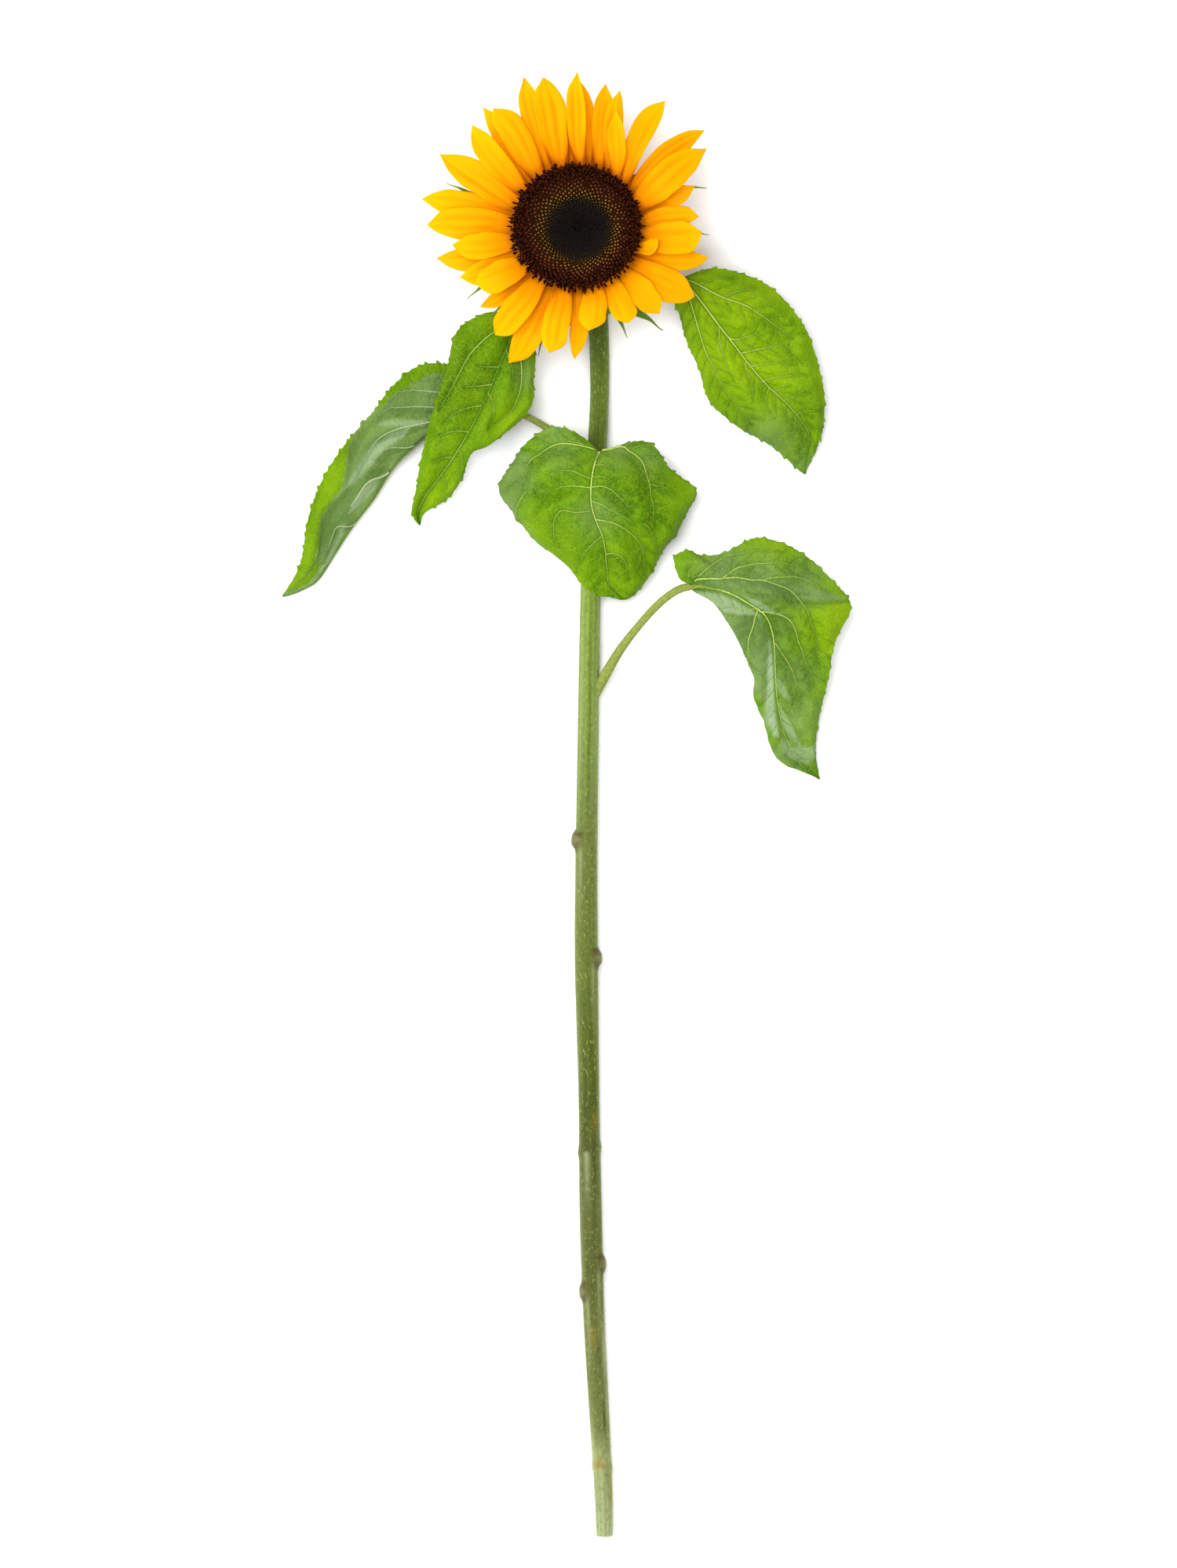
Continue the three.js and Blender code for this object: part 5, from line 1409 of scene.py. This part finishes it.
LEAVES["leaf_lower_right"] = {
    "petiole": [
        (7.5, -240, 5.4), (14.2, -228.5, 8), (21.5, -216, 13), (31, -203.5, 19), (42, -191.5, 24),
        (52, -184.4, 26.6), (61, -182.6, 27.6),
    ],
    "radii": (3, 2),
    "waves": (1, 0.15),
    "left": [
        (56.4, -181, 27.4), (52, -178.4, 28), (49.8, -168, 29), (56.6, -164.8, 29.4),
        (63, -167, 29), (75, -166, 28.6), (92, -158.4, 26.6), (112, -164.5, 24.6),
        (131, -181, 21.6), (139.5, -194, 18), (131, -212.5, 13.6), (127.5, -231, 9.6),
        (123.5, -250, 6), (121.6, -266, 3), (123.7, -280.4, 0.9),
    ],
    "midrib": [
        (58, -182.6, 27.4), (61, -182.8, 27.7), (64.5, -183, 28), (72, -184.5, 28.6),
        (80, -187.5, 28.8), (88, -192, 28), (95, -196.8, 26.4), (98.8, -204, 23.6),
        (100.3, -214, 19.4), (101, -227, 14.8), (102, -240, 10.8), (104.5, -253, 7.4),
        (109, -265, 4.6), (116, -273.6, 2.4), (124, -281, 0.8),
    ],
    "right": [
        (58.4, -184.6, 27), (60, -185.6, 26.4), (62, -186.6, 25.6), (66.5, -189, 24),
        (71, -192.5, 22), (76, -200, 19), (82, -210, 15.4), (87, -221, 12), (91.5, -232, 9.4),
        (96, -241, 7), (100, -252, 4.8), (102, -262, 3), (105.4, -270.6, 1.8), (113.6, -275, 1.2),
        (123.5, -280.8, 0.6),
    ],
    "veins": [
        (0, 1.3, [(60, -180.5), (68, -179), (80, -178.5), (90, -180), (100, -181.5), (108, -185),
            (113, -190), (117, -195), (120, -203), (122, -210), (123, -222)]),
        (0, 0.9, [(74, -178.5), (80, -174.5), (86, -172.5), (95, -171), (103, -171), (110, -172.5),
            (117, -172)]),
        (0, 0.8, [(62, -178), (66, -174), (74, -169), (85, -166), (95, -165), (104, -165.5)]),
        (0, 0.7, [(57, -178), (60, -173), (66, -170)]),
        (0, 0.8, [(94, -180), (103, -178), (112, -178), (120, -181), (128, -186)]),
        (0, 1.0, [(93, -195.6), (103, -197.5), (108, -200), (111, -205), (113, -212), (116, -219),
            (119, -226), (120.5, -234)]),
        (0, 0.9, [(100.5, -211), (104, -216), (108, -223), (111, -230), (113, -237),
            (114.5, -243)]),
        (0, 0.8, [(101.5, -232), (105, -237), (110, -239), (114, -240)]),
        (0, 0.8, [(102.5, -242), (107, -249), (111, -256), (113, -262)]),
        (0, 0.7, [(104, -255), (108, -262), (112, -268), (117, -272)]),
        (0, 1.0, [(92, -195), (90.5, -200), (88, -208), (87, -214), (88, -222), (90, -230)]),
        (0, 0.8, [(91, -194), (85, -194), (78, -192.5), (72, -192)]),
    ],
    "folds": [
        (2.0, 4, [(92, -184), (106, -189), (120, -190), (138, -189.5)]),
        (-1.2, 5, [(104, -196), (116, -200), (132, -202)]),
        (1.4, 3, [(100, -206), (101, -222), (102, -238)]),
    ],
    "tints": [
        ("grey", 75, -178, 14, 0.9), ("grey", 93, -182, 14, 0.9), ("grey", 113, -181, 12, 0.7),
        ("grey", 90, -215, 14, 0.9), ("grey", 80, -195, 14, 0.9), ("grey", 110, -229, 12, 0.55),
        ("grey", 113, -250, 14, 0.6), ("grey", 110, -268, 10, 0.8), ("lit", 122, -201, 12, 1.0),
        ("lit", 102, -164, 14, 1.0), ("deep", 108, -189, 5, 0.7), ("deep", 92, -197, 7, 0.5),
        ("grey", 103, -200, 10, 0.4), ("deep", 90, -208, 10, 0.7), ("deep", 104, -222, 6, 0.15),
        ("deep", 74, -182, 9, 0.4), ("deep", 106, -186, 8, 0.5), ("deep", 113, -181, 9, 0.25),
    ],
    "patches": [
        ("lit", 1.2, 0.9, [(98, -191.5), (108, -191.6), (120, -191.6), (142, -190.5), (142, -216),
            (124, -218), (117, -207), (109, -198)]),
        ("deep", 0.75, 1.2, [(84, -185.5), (96, -186), (108, -189), (124, -189.4), (140, -188.6),
            (140, -190.6), (120, -191.6), (106, -191.6), (94, -188.6)]),
        ("lit", 0.5, 2, [(84, -188), (94, -189.5), (104, -192), (112, -197), (102, -196),
            (94, -192.5)]),
        ("grey", 1.0, 2.5, [(60, -184), (71, -178), (92, -178), (112, -181), (128, -186),
            (138, -189), (112, -190), (96, -185), (80, -184)]),
        ("grey", 0.9, 2, [(71, -192), (84, -196), (94, -198), (99, -210), (100, -230), (96, -241),
            (82, -212)]),
        ("bloom", 0.7, 1.8, [(97.6, -210), (99.6, -222), (100.2, -236), (101.2, -248), (103, -259),
            (101, -258), (98, -250), (96.4, -242), (97, -232), (97, -222)]),
        ("bloom", 0.3, 2.5, [(101, -226), (105.4, -233), (109, -240), (105, -239), (101.8, -236)]),
        ("bloom", 0.4, 1.5, [(102.6, -240), (105, -246), (109, -252), (114, -263), (108, -259),
            (104, -252)]),
        ("bloom", 0.5, 1.5, [(61, -185), (72, -186.6), (80, -189.6), (88, -194), (94, -198),
            (84, -196.5), (74, -193), (66, -189)]),
        ("bloom", 0.4, 1.2, [(84, -187), (93, -190.4), (100, -195), (106, -197.6), (99, -197),
            (91, -193)]),
        ("bloom", 0.3, 2, [(104, -259), (110, -264), (118, -264), (121.5, -262), (121, -270),
            (117, -273), (109, -270), (104.6, -266)]),
        ("lit", 0.6, 1.5, [(56, -178), (58, -172), (64, -168), (72, -168.6), (64, -174)]),
    ],
}
LEAF_ROWS, LEAF_COLUMNS = 261, 87
CROWDING = 0.12  # of the columns towards the margins
PALE_STATIONS = (0, 0.45, 0.65, 1)  # along the midrib, for its paleness
LEAF_THICKNESS = 0.55
TOOTH_SPACING, TOOTH_SIZE = 4.0, 1.2
MARGIN_WAVES, WAVE_HEIGHT = 5.5, 1.1
LEAF_UNEVENNESS = 0.9
BROAD_VEIN = 0.9  # the width from which a vein has small veins and draws the blade in
SWELL_HEIGHT, SWELL_REACH = 3.4, 7.5  # of the blade between its broad veins
QUILT_HEIGHT, QUILT_REACH = 0.5, 3.0  # and between all of them
MIDRIB_WIDTH = 1.4
MIDRIB_STEPS, VEIN_STEPS, TWIG_STEPS, FOLD_STEPS = 160, 70, 20, 50
TWIG_GAP = 7.5  # along a vein, between the small veins that leave it
TWIG_REACH = 9.0
TWIG_AHEAD, TWIG_ASIDE, TWIG_BEND = 0.57, 0.82, 0.3
TWIG_WIDTH = 0.4
VEIN_SWELL = 0.2  # of the lower face under a vein
MIDDLE_LOWEST, UPPER_LOWEST, LOWER_LOWEST = 0.5, 0.3, 0.15  # over the surface that it lies on
STALK_STEPS, RIB_STEPS, TUBE_SIDES = 60, 90, 16
RIB_FACES = ((1, 0.48, 0.19), (-1, 0.58, 0.28))  # upper and lower: radius over width, how proud
STALK_END = 0.93  # of the petiole's line, where the midrib takes over
JOIN_START = 40  # the station from which the two lines are smoothed into each other


def leaf_points(shape, u, v):
    """Points of a blade: M + (R - L) / 2 v + ((L + R) / 2 - M) v^2, where L, M and R are its left
    edge, midrib and right edge at u, and v runs from -1 to 1."""
    left, middle, right = (smooth_line(shape[k], u) for k in ("left", "midrib", "right"))
    v = v[..., None]
    return middle + (right - left) / 2 * v + ((left + right) / 2 - middle) * v**2


def blade_chart(shape, half):
    """A fine grid of (u, v) places over a half of a blade, or over all of it, and their plan."""
    low, high = {-1: (-1, 0), 0: (-1, 1), 1: (0, 1)}[half]
    u, v = np.meshgrid(np.linspace(0, 1, 320), np.linspace(low, high, 120), indexing="ij")
    places = np.stack([u.ravel(), v.ravel()], -1)
    return places, leaf_points(shape, u, v)[..., :2].reshape(-1, 2)


def on_blade(chart, plan):
    """The (u, v) places of a chart that lie nearest under the given points of the plan."""
    places, flat = chart
    gaps = ((flat[None] - np.asarray(plan, float)[:, None]) ** 2).sum(-1)
    return places[gaps.argmin(1)]


def twig_plans(plan, sides, rng):
    """Plans of the small veins that leave a vein on the given sides at about 55 degrees and bend
    towards its tip: start + reach s (ahead cos 55 + aside sin 55) + 0.3 reach s^2 ahead."""
    line = smooth_line(plan, np.linspace(0, 1, 80))
    length = lengths(line)
    share = np.linspace(0, 1, 5)[:, None]
    made = []
    for side in sides:
        for place in np.arange(TWIG_GAP * rng.uniform(0.5, 1), length[-1] - 2, TWIG_GAP):
            i = int(np.searchsorted(length, place))
            ahead = unit(line[i] - line[i - 1])
            aside = side * np.array([ahead[1], -ahead[0]])
            reach = TWIG_REACH * rng.uniform(0.7, 1.2)
            leaving = reach * share * (TWIG_AHEAD * ahead + TWIG_ASIDE * aside)
            made.append(line[i] + leaving + TWIG_BEND * reach * share**2 * ahead)
    return made


def distance_to(line, points, widths):
    """For each point, its distance to the nearest point of a line, over that point's own width."""
    best = np.full(len(points), np.inf)
    for start in range(0, len(points), 6000):
        part = points[start : start + 6000]
        gap = np.sqrt(((part[:, None] - line[None]) ** 2).sum(-1)) / widths
        best[start : start + 6000] = gap.min(1)
    return best


def edge_distance(points, outline):
    """How far each point lies inside a closed outline, below 0 outside it: the distance to the
    nearest of its sides, with its sign from the count of sides that a level line crosses."""
    following = np.roll(outline, -1, axis=0)
    along = following - outline
    offset = points[:, None] - outline[None]
    share = np.clip((offset * along).sum(-1) / (along**2).sum(-1), 0, 1)
    gap = np.linalg.norm(offset - share[..., None] * along, axis=-1).min(1)
    straddles = (outline[:, 1] > points[:, 1:]) != (following[:, 1] > points[:, 1:])
    rise = np.where(along[:, 1] == 0, 1e-9, along[:, 1])
    crossing = outline[:, 0] + offset[..., 1] / rise * along[:, 0]
    crossed = (straddles & (points[:, :1] < crossing)).sum(1)
    return np.where(crossed % 2 == 1, gap, -gap)


def saw(length, rng):
    """Teeth along a margin: each rises slowly towards the leaf's tip and drops back at once."""
    phase = length / TOOTH_SPACING + 0.35 * np.sin(length * 0.21 + rng.uniform(0, 6))
    share = phase - np.floor(phase)
    size = 0.55 + 0.45 * np.sin(np.floor(phase) * 2.4 + rng.uniform(0, 6))
    return size * np.where(share < 0.8, (share / 0.8) ** 1.6, (1 - share) / 0.2)


def toothed(shape, u, v, waves, rng):
    """How far each place of the blade is stretched sideways: the teeth push its margins a little
    past v = -1 and v = 1."""
    spine = leaf_points(shape, u, 0 * u)
    stretch = np.ones_like(v)
    for side, column in ((-1, v < 0), (1, v > 0)):
        edge = leaf_points(shape, u, 0 * u + side)
        teeth = TOOTH_SIZE * waves[side] * saw(lengths(edge), rng)
        teeth = teeth * ease(u, 0.04, 0.15) * ease(1 - u, 0.02, 0.1)
        wide = np.linalg.norm(edge - spine, axis=-1)
        share = (teeth / np.maximum(wide, 4))[:, None]
        stretch = np.where(column, 1 + share * ease(np.abs(v), 0.86, 1.0), stretch)
    return stretch


def leaf_veins(shape, charts, rng):
    """All veins of a leaf, each as its width and its (u, v) places, the midrib first."""

    def vein(width, half, plan, steps):
        """A vein's width and its places on the blade, drawn as so many steps of a smooth line."""
        return width, smooth_line(on_blade(charts[half], plan), np.linspace(0, 1, steps))

    midrib = np.stack([np.linspace(0, 1, MIDRIB_STEPS), np.zeros(MIDRIB_STEPS)], -1)
    veins, twigs = [(MIDRIB_WIDTH, midrib)], []
    spine = smooth_line(shape["midrib"], 0.5)
    ahead = smooth_line(shape["midrib"], 0.52) - spine
    for half, edge in ((-1, "left"), (1, "right")):
        aside = smooth_line(shape[edge], 0.5) - spine
        side = np.sign(ahead[1] * aside[0] - ahead[0] * aside[1])
        plan = np.array(shape["midrib"])[:, :2]
        twigs += [(half, twig) for twig in twig_plans(plan, [side], rng)]
    for half, width, plan in shape["veins"]:
        veins.append(vein(width, half, plan, VEIN_STEPS))
        if width >= BROAD_VEIN:
            twigs += [(half, twig) for twig in twig_plans(plan, [-1, 1], rng)]
    if shape.get("twigs", True):
        veins += [vein(TWIG_WIDTH, half, plan, TWIG_STEPS) for half, plan in twigs]
    return veins


def leaf_tints(shape, sheet):
    """How much painted shade, painted light, painted greyish sheen and painted whitish highlight
    each
    place of the blade has: round spots that fall off as exp(-(d / radius)^2), and patches with a
    soft edge."""
    x, y = sheet[..., 0], sheet[..., 1]
    tints = {kind: np.zeros_like(x) for kind in ("deep", "lit", "grey", "bloom")}
    for kind, spot_x, spot_y, radius, amount in shape["tints"]:
        spot = amount * np.exp(-((x - spot_x) ** 2 + (y - spot_y) ** 2) / radius**2)
        tints[kind] = np.maximum(tints[kind], spot)
    for kind, amount, softness, outline in shape.get("patches", []):
        inside = edge_distance(sheet.reshape(-1, 3)[:, :2], np.array(outline, float))
        patch = amount * ease(inside.reshape(x.shape) / softness, -0.5, 0.5)
        tints[kind] = np.maximum(tints[kind], patch)
    return tints


def petiole(shape, middle, normal):
    """The petiole, channelled above and carried on under the blade as its midrib."""
    row = np.linspace(0.03, 0.97, RIB_STEPS)
    rib, upward = (smooth_line(grid[:, LEAF_COLUMNS // 2], row) for grid in (middle, normal))
    along = np.linspace(0, STALK_END, STALK_STEPS)
    root_radius, tip_radius = shape["radii"]
    stalk_radius = mix(root_radius, tip_radius, np.clip(along * 2, 0, 1))
    rib_share = np.linspace(0, 1, RIB_STEPS)
    rib_radius = mix(tip_radius * 0.75, 0.45, rib_share**0.45)
    line = np.vstack([smooth_line(shape["petiole"], along), rib - upward * 0.45])
    radius = np.concatenate([stalk_radius, rib_radius])
    for _ in range(3):
        radius[1:-1] = (radius[:-2] + radius[1:-1] + radius[2:]) / 3
        part = line[JOIN_START - 1 :]
        part[1:-1] = (part[:-2] + part[1:-1] + part[2:]) / 3
    channel = 1 - 0.18 * bell(turn_angles(TUBE_SIDES) - np.pi / 2, 0.5)
    on_stalk = np.concatenate([np.ones(STALK_STEPS), mix(0.9, 0.6, rib_share)])
    return pipe(line, radius[:, None] * channel[None, :], TUBE_SIDES, stalk=on_stalk)


def leaf_piece(name, shape, seed):
    """A leaf: its blade puckered between the veins, with toothed and waving margins, and its
    petiole carried on as the midrib. Over the three lines the blade rises along its normal by
    3.4 (1 - exp(-(d / 7.5)^2)) + 0.5 (1 - exp(-(e / 3)^2)) + noise + margin waves + folds, d and e
    being the distances to the nearest broad vein and to the nearest vein of any width."""
    rng = np.random.default_rng(seed)
    u = np.linspace(0, 1, LEAF_ROWS)
    v = np.linspace(-1, 1, LEAF_COLUMNS)
    v = np.sign(v) * ((1 + CROWDING) * np.abs(v) - CROWDING * np.abs(v) ** 3)
    grid_u, grid_v = np.meshgrid(u, v, indexing="ij")
    waves = dict(zip((-1, 1), shape.get("waves", (1, 1))))
    sheet = leaf_points(shape, grid_u, grid_v * toothed(shape, u, grid_v, waves, rng))
    flat = sheet.reshape(-1, 3)

    # How strong the nearest vein is at each place, and how far the broad ones and all of them are.
    charts = {half: blade_chart(shape, half) for half in (-1, 0, 1)}
    veins = leaf_veins(shape, charts, rng)
    strength = np.zeros(len(flat))
    broad = np.full(len(flat), 1e9)
    close = np.full(len(flat), 1e9)
    for width, places in veins:
        line = leaf_points(shape, places[:, 0], places[:, 1])
        gap = distance_to(line, flat, np.linspace(1.0, 0.6, len(line)))
        strength = np.maximum(strength, width**1.5 * bell(gap, 0.4 + 0.5 * width))
        close = np.minimum(close, gap)
        if width >= BROAD_VEIN:
            broad = np.minimum(broad, gap)
    strength, broad, close = (field.reshape(grid_u.shape) for field in (strength, broad, close))

    bulge = 1 - bell(close, QUILT_REACH)
    pucker = SWELL_HEIGHT * (1 - bell(broad, SWELL_REACH)) + QUILT_HEIGHT * bulge
    lift = pucker * ease(1 - np.abs(grid_v), 0.0, 0.25)
    lift = lift + soft_noise(rng, grid_u.shape, 5, LEAF_UNEVENNESS)
    phase = 2 * np.pi * (grid_u * MARGIN_WAVES + 0.3 * np.sign(grid_v))
    wave = np.sin(phase + rng.uniform(0, 6)) * np.where(grid_v < 0, waves[-1], waves[1])
    wave = WAVE_HEIGHT * wave * np.abs(grid_v) ** 4
    lift = lift + wave * ease(grid_u, 0.05, 0.2) * ease(1 - grid_u, 0.0, 0.2)
    for height, width, plan in shape["folds"]:
        places = smooth_line(on_blade(charts[0], plan), np.linspace(0, 1, FOLD_STEPS))
        line = leaf_points(shape, places[:, 0], places[:, 1])
        ends = np.sin(np.pi * np.linspace(0.08, 0.92, FOLD_STEPS)) ** 0.5
        lift = lift + height * bell(distance_to(line, flat, width * ends)).reshape(grid_u.shape)

    lift = lift * ease(grid_u, 0.0, 0.06) * ease(1 - grid_u, 0.0, 0.05)
    middle = sheet + grid_normal(sheet) * lift[..., None]
    middle[..., 2] = np.maximum(middle[..., 2], MIDDLE_LOWEST)
    normal = grid_normal(middle)
    half_thickness = LEAF_THICKNESS / 2 * mix(1.0, 0.35, np.abs(grid_v) ** 6)
    upper = middle + normal * half_thickness[..., None]
    lower = middle - normal * (half_thickness + VEIN_SWELL * strength)[..., None]
    lower[..., 2] = np.maximum(lower[..., 2], LOWER_LOWEST)
    upper[..., 2] = np.maximum(upper[..., 2], UPPER_LOWEST)
    zero = np.zeros_like(grid_u)
    uv = np.stack([grid_u, grid_v / 2 + 0.5], -1)
    # The vein strength and the bulge also go to the material for painted shade and highlights, and
    # the tints for painted light and shade.
    both = {"vein": strength, "bulge": bulge, **leaf_tints(shape, sheet)}
    pairs = {key: (value, value) for key, value in both.items()}
    blade = shell(upper, lower, uv, underside=(zero, zero + 1), **pairs)

    pale = shape.get("midrib_paleness", (1, 1, 1, 1))
    paleness = [np.interp(veins[0][1][:, 0], PALE_STATIONS, pale)]
    paleness += [np.full(len(places), min(0.85, 0.75 * w**2 + 0.03)) for w, places in veins[1:]]
    ribs = []
    for (width, places), pale in zip(veins, paleness):
        ribs += vein_ribs(middle, normal, v, width, places, pale)
    made = joined([blade, petiole(shape, middle, normal), *ribs])
    add_piece(name + "_blade", made, LEAF, [name])


def vein_ribs(middle, normal, columns, width, places, paleness):
    """A vein as two thin tapering tubes, one just proud of the upper face and a thicker one that
    stands out of the lower face. Both follow the blade at the vein's (u, v) places."""
    sides = 6 if width > TWIG_WIDTH else 4
    places, paleness = places[::2], paleness[::2]
    row = places[:, 0] * (LEAF_ROWS - 1)
    column = np.interp(places[:, 1], columns, np.arange(LEAF_COLUMNS))
    centre = read_grid(middle, row, column)
    upward = unit(read_grid(normal, row, column))
    share = np.linspace(0, 1, len(places))
    ribs = []
    for side, size, proud in RIB_FACES:
        radius = size * width * mix(1.0, 0.3, share)
        away = LEAF_THICKNESS / 2 + proud * (1 - share**4) - radius
        if side < 0:
            away = np.maximum(away, radius - 0.2)
        line = centre + upward * (side * away)[:, None]
        line[:, 2] = np.maximum(line[:, 2], radius + 0.05)
        under = np.full(len(places), 1.0 if side < 0 else 0.0)
        rib = mix(1.0, 0.3, share**2) * paleness
        ribs.append(pipe(line, radius, sides, rib=rib, underside=under))
    return ribs


def read_grid(grid, row, column):
    """A grid of vectors read between its points, by weights (1 - a)(1 - b), a (1 - b) and so on."""
    i = np.clip(row.astype(int), 0, grid.shape[0] - 2)
    j = np.clip(column.astype(int), 0, grid.shape[1] - 2)
    a, b = (row - i)[:, None], (column - j)[:, None]
    near = grid[i, j] * (1 - b) + grid[i, j + 1] * b
    far = grid[i + 1, j] * (1 - b) + grid[i + 1, j + 1] * b
    return near * (1 - a) + far * a


# ------------------------------------------------------------------ building the flower

add_piece("stem_surface", stem_surface(), STEM, ["stem"])

RECEPTACLE_RIPPLE = 0.012
RECEPTACLE_PROFILE = [
    (0, 26), (4, 26), (8, 26), (11, 26.4), (14, 27.2), (17, 28.1), (20, 29.2), (23, 30.6),
    (26, 32.4), (28.2, 34.2), (30, 36), (31.3, 38), (32, 40), (32, 41.6), (31.4, 43), (16, 43),
    (0, 43),
]
receptacle = turned(RECEPTACLE_PROFILE, False, RECEPTACLE_RIPPLE)
add_piece("receptacle_flesh", receptacle, RECEPTACLE, ["receptacle"])

BED_RADIUS = BUD_RADIUS - 0.2
BED_SINK = 1.0  # of the bed under the florets' tops
EYE_TOP = 44.6
RIM_PROFILE = [
    (BUD_RADIUS, DISC_BASE), (31.6, DISC_BASE - 0.6), (32.2, 44.0), (31.4, 45.2), (30, 45.6),
    (BUD_RADIUS, 45.6),
]
bed_floor = [(r, DISC_BASE) for r in (0, 14, BED_RADIUS)]
bed_top = [(r, disc_height(r) - BED_SINK) for r in np.linspace(BED_RADIUS, 0, 14)[:-1]]
bud_bed = disc_bed([*bed_floor, *bed_top, (0, EYE_TOP)], False)
rim_bed = disc_bed(RIM_PROFILE, True)
buds, opened = joined([bud_bed, bud_florets()]), joined([rim_bed, open_florets()])
add_piece("bud_florets", buds, FLORET, ["disc_buds"])
add_piece("open_florets", opened, FLORET, ["disc_open_florets"])

for number, shape in enumerate(RAYS, 1):
    ray_piece(number, shape)
for number, shape in enumerate(BRACTS, 1):
    bract_piece(number, shape)
for seed, (name, shape) in enumerate(LEAVES.items(), LEAF_SEED):
    leaf_piece(name, shape, seed)

# ------------------------------------------------------------------ floor, light and camera

VIEW_CENTRE = (6.0, -283.4, 0.0)
VIEW_HEIGHT = 0.7996  # metres of the surface from the bottom of the view to its top
CAMERA_DISTANCE = 10.0
SENSOR = 36.0
FLOOR_HALF, FLOOR_HEIGHT = 6.0, -0.0004
LIT_CENTRE = (0, -200, 20)
# Each light: its name, its place from the lit centre in metres, its size and its power.
LIGHTS = [
    ("key light", (-0.6, 0.45, 2.3), 1.8, 50),
    ("side light", (-2.2, -0.1, 0.9), 1.6, 37),
    ("fill light", (1.0, -1.4, 1.7), 1.6, 20),
]
SKY = 0.73


def pale_floor():
    """The flat surface that the flower lies on, a little uneven in its white."""
    mesh = bpy.data.meshes.new("floor")
    corners = [(-1, -1), (1, -1), (1, 1), (-1, 1)]
    points = [(x * FLOOR_HALF, y * FLOOR_HALF, FLOOR_HEIGHT) for x, y in corners]
    mesh.from_pydata(points, [], [(0, 1, 2, 3)])
    m = Nodes("floor white", 0.9, 0.1)
    shades = [(0.3, (0.95, 0.95, 0.95)), (0.7, (0.97, 0.97, 0.97))]
    mesh.materials.append(m.finish(m.ramp(m.noise(m.place, 3, 2), shades)))
    floor = bpy.data.objects.new("floor", mesh)
    bpy.context.scene.collection.objects.link(floor)


def soft_light(name, offset, size, power):
    """A round area light that looks at the lit centre from its offset."""
    light = bpy.data.lights.new(name, "AREA")
    light.shape = "DISK"
    light.size = size
    light.energy = power
    lamp = bpy.data.objects.new(name, light)
    target = in_metres(LIT_CENTRE)
    place = target + np.array(offset)
    lamp.location = place
    lamp.rotation_euler = Vector(target - place).to_track_quat("-Z", "Y").to_euler()
    bpy.context.scene.collection.objects.link(lamp)


def even_sky():
    """White light from all round."""
    world = bpy.data.worlds.new("studio")
    world.use_nodes = True
    background = world.node_tree.nodes["Background"]
    background.inputs["Color"].default_value = (1, 1, 1, 1)
    background.inputs["Strength"].default_value = SKY
    bpy.context.scene.world = world
    bpy.context.scene.view_settings.view_transform = "Standard"


def camera():
    """A camera high over the middle of the view, looking straight down, with +Y up."""
    data = bpy.data.cameras.new("camera")
    data.sensor_width = SENSOR
    data.lens = SENSOR * CAMERA_DISTANCE / VIEW_HEIGHT
    data.clip_start, data.clip_end = 1.0, 100.0
    made = bpy.data.objects.new("camera", data)
    made.location = in_metres(VIEW_CENTRE) + np.array([0, 0, CAMERA_DISTANCE])
    bpy.context.scene.collection.objects.link(made)
    bpy.context.scene.camera = made


pale_floor()
for light in LIGHTS:
    soft_light(*light)
even_sky()
camera()
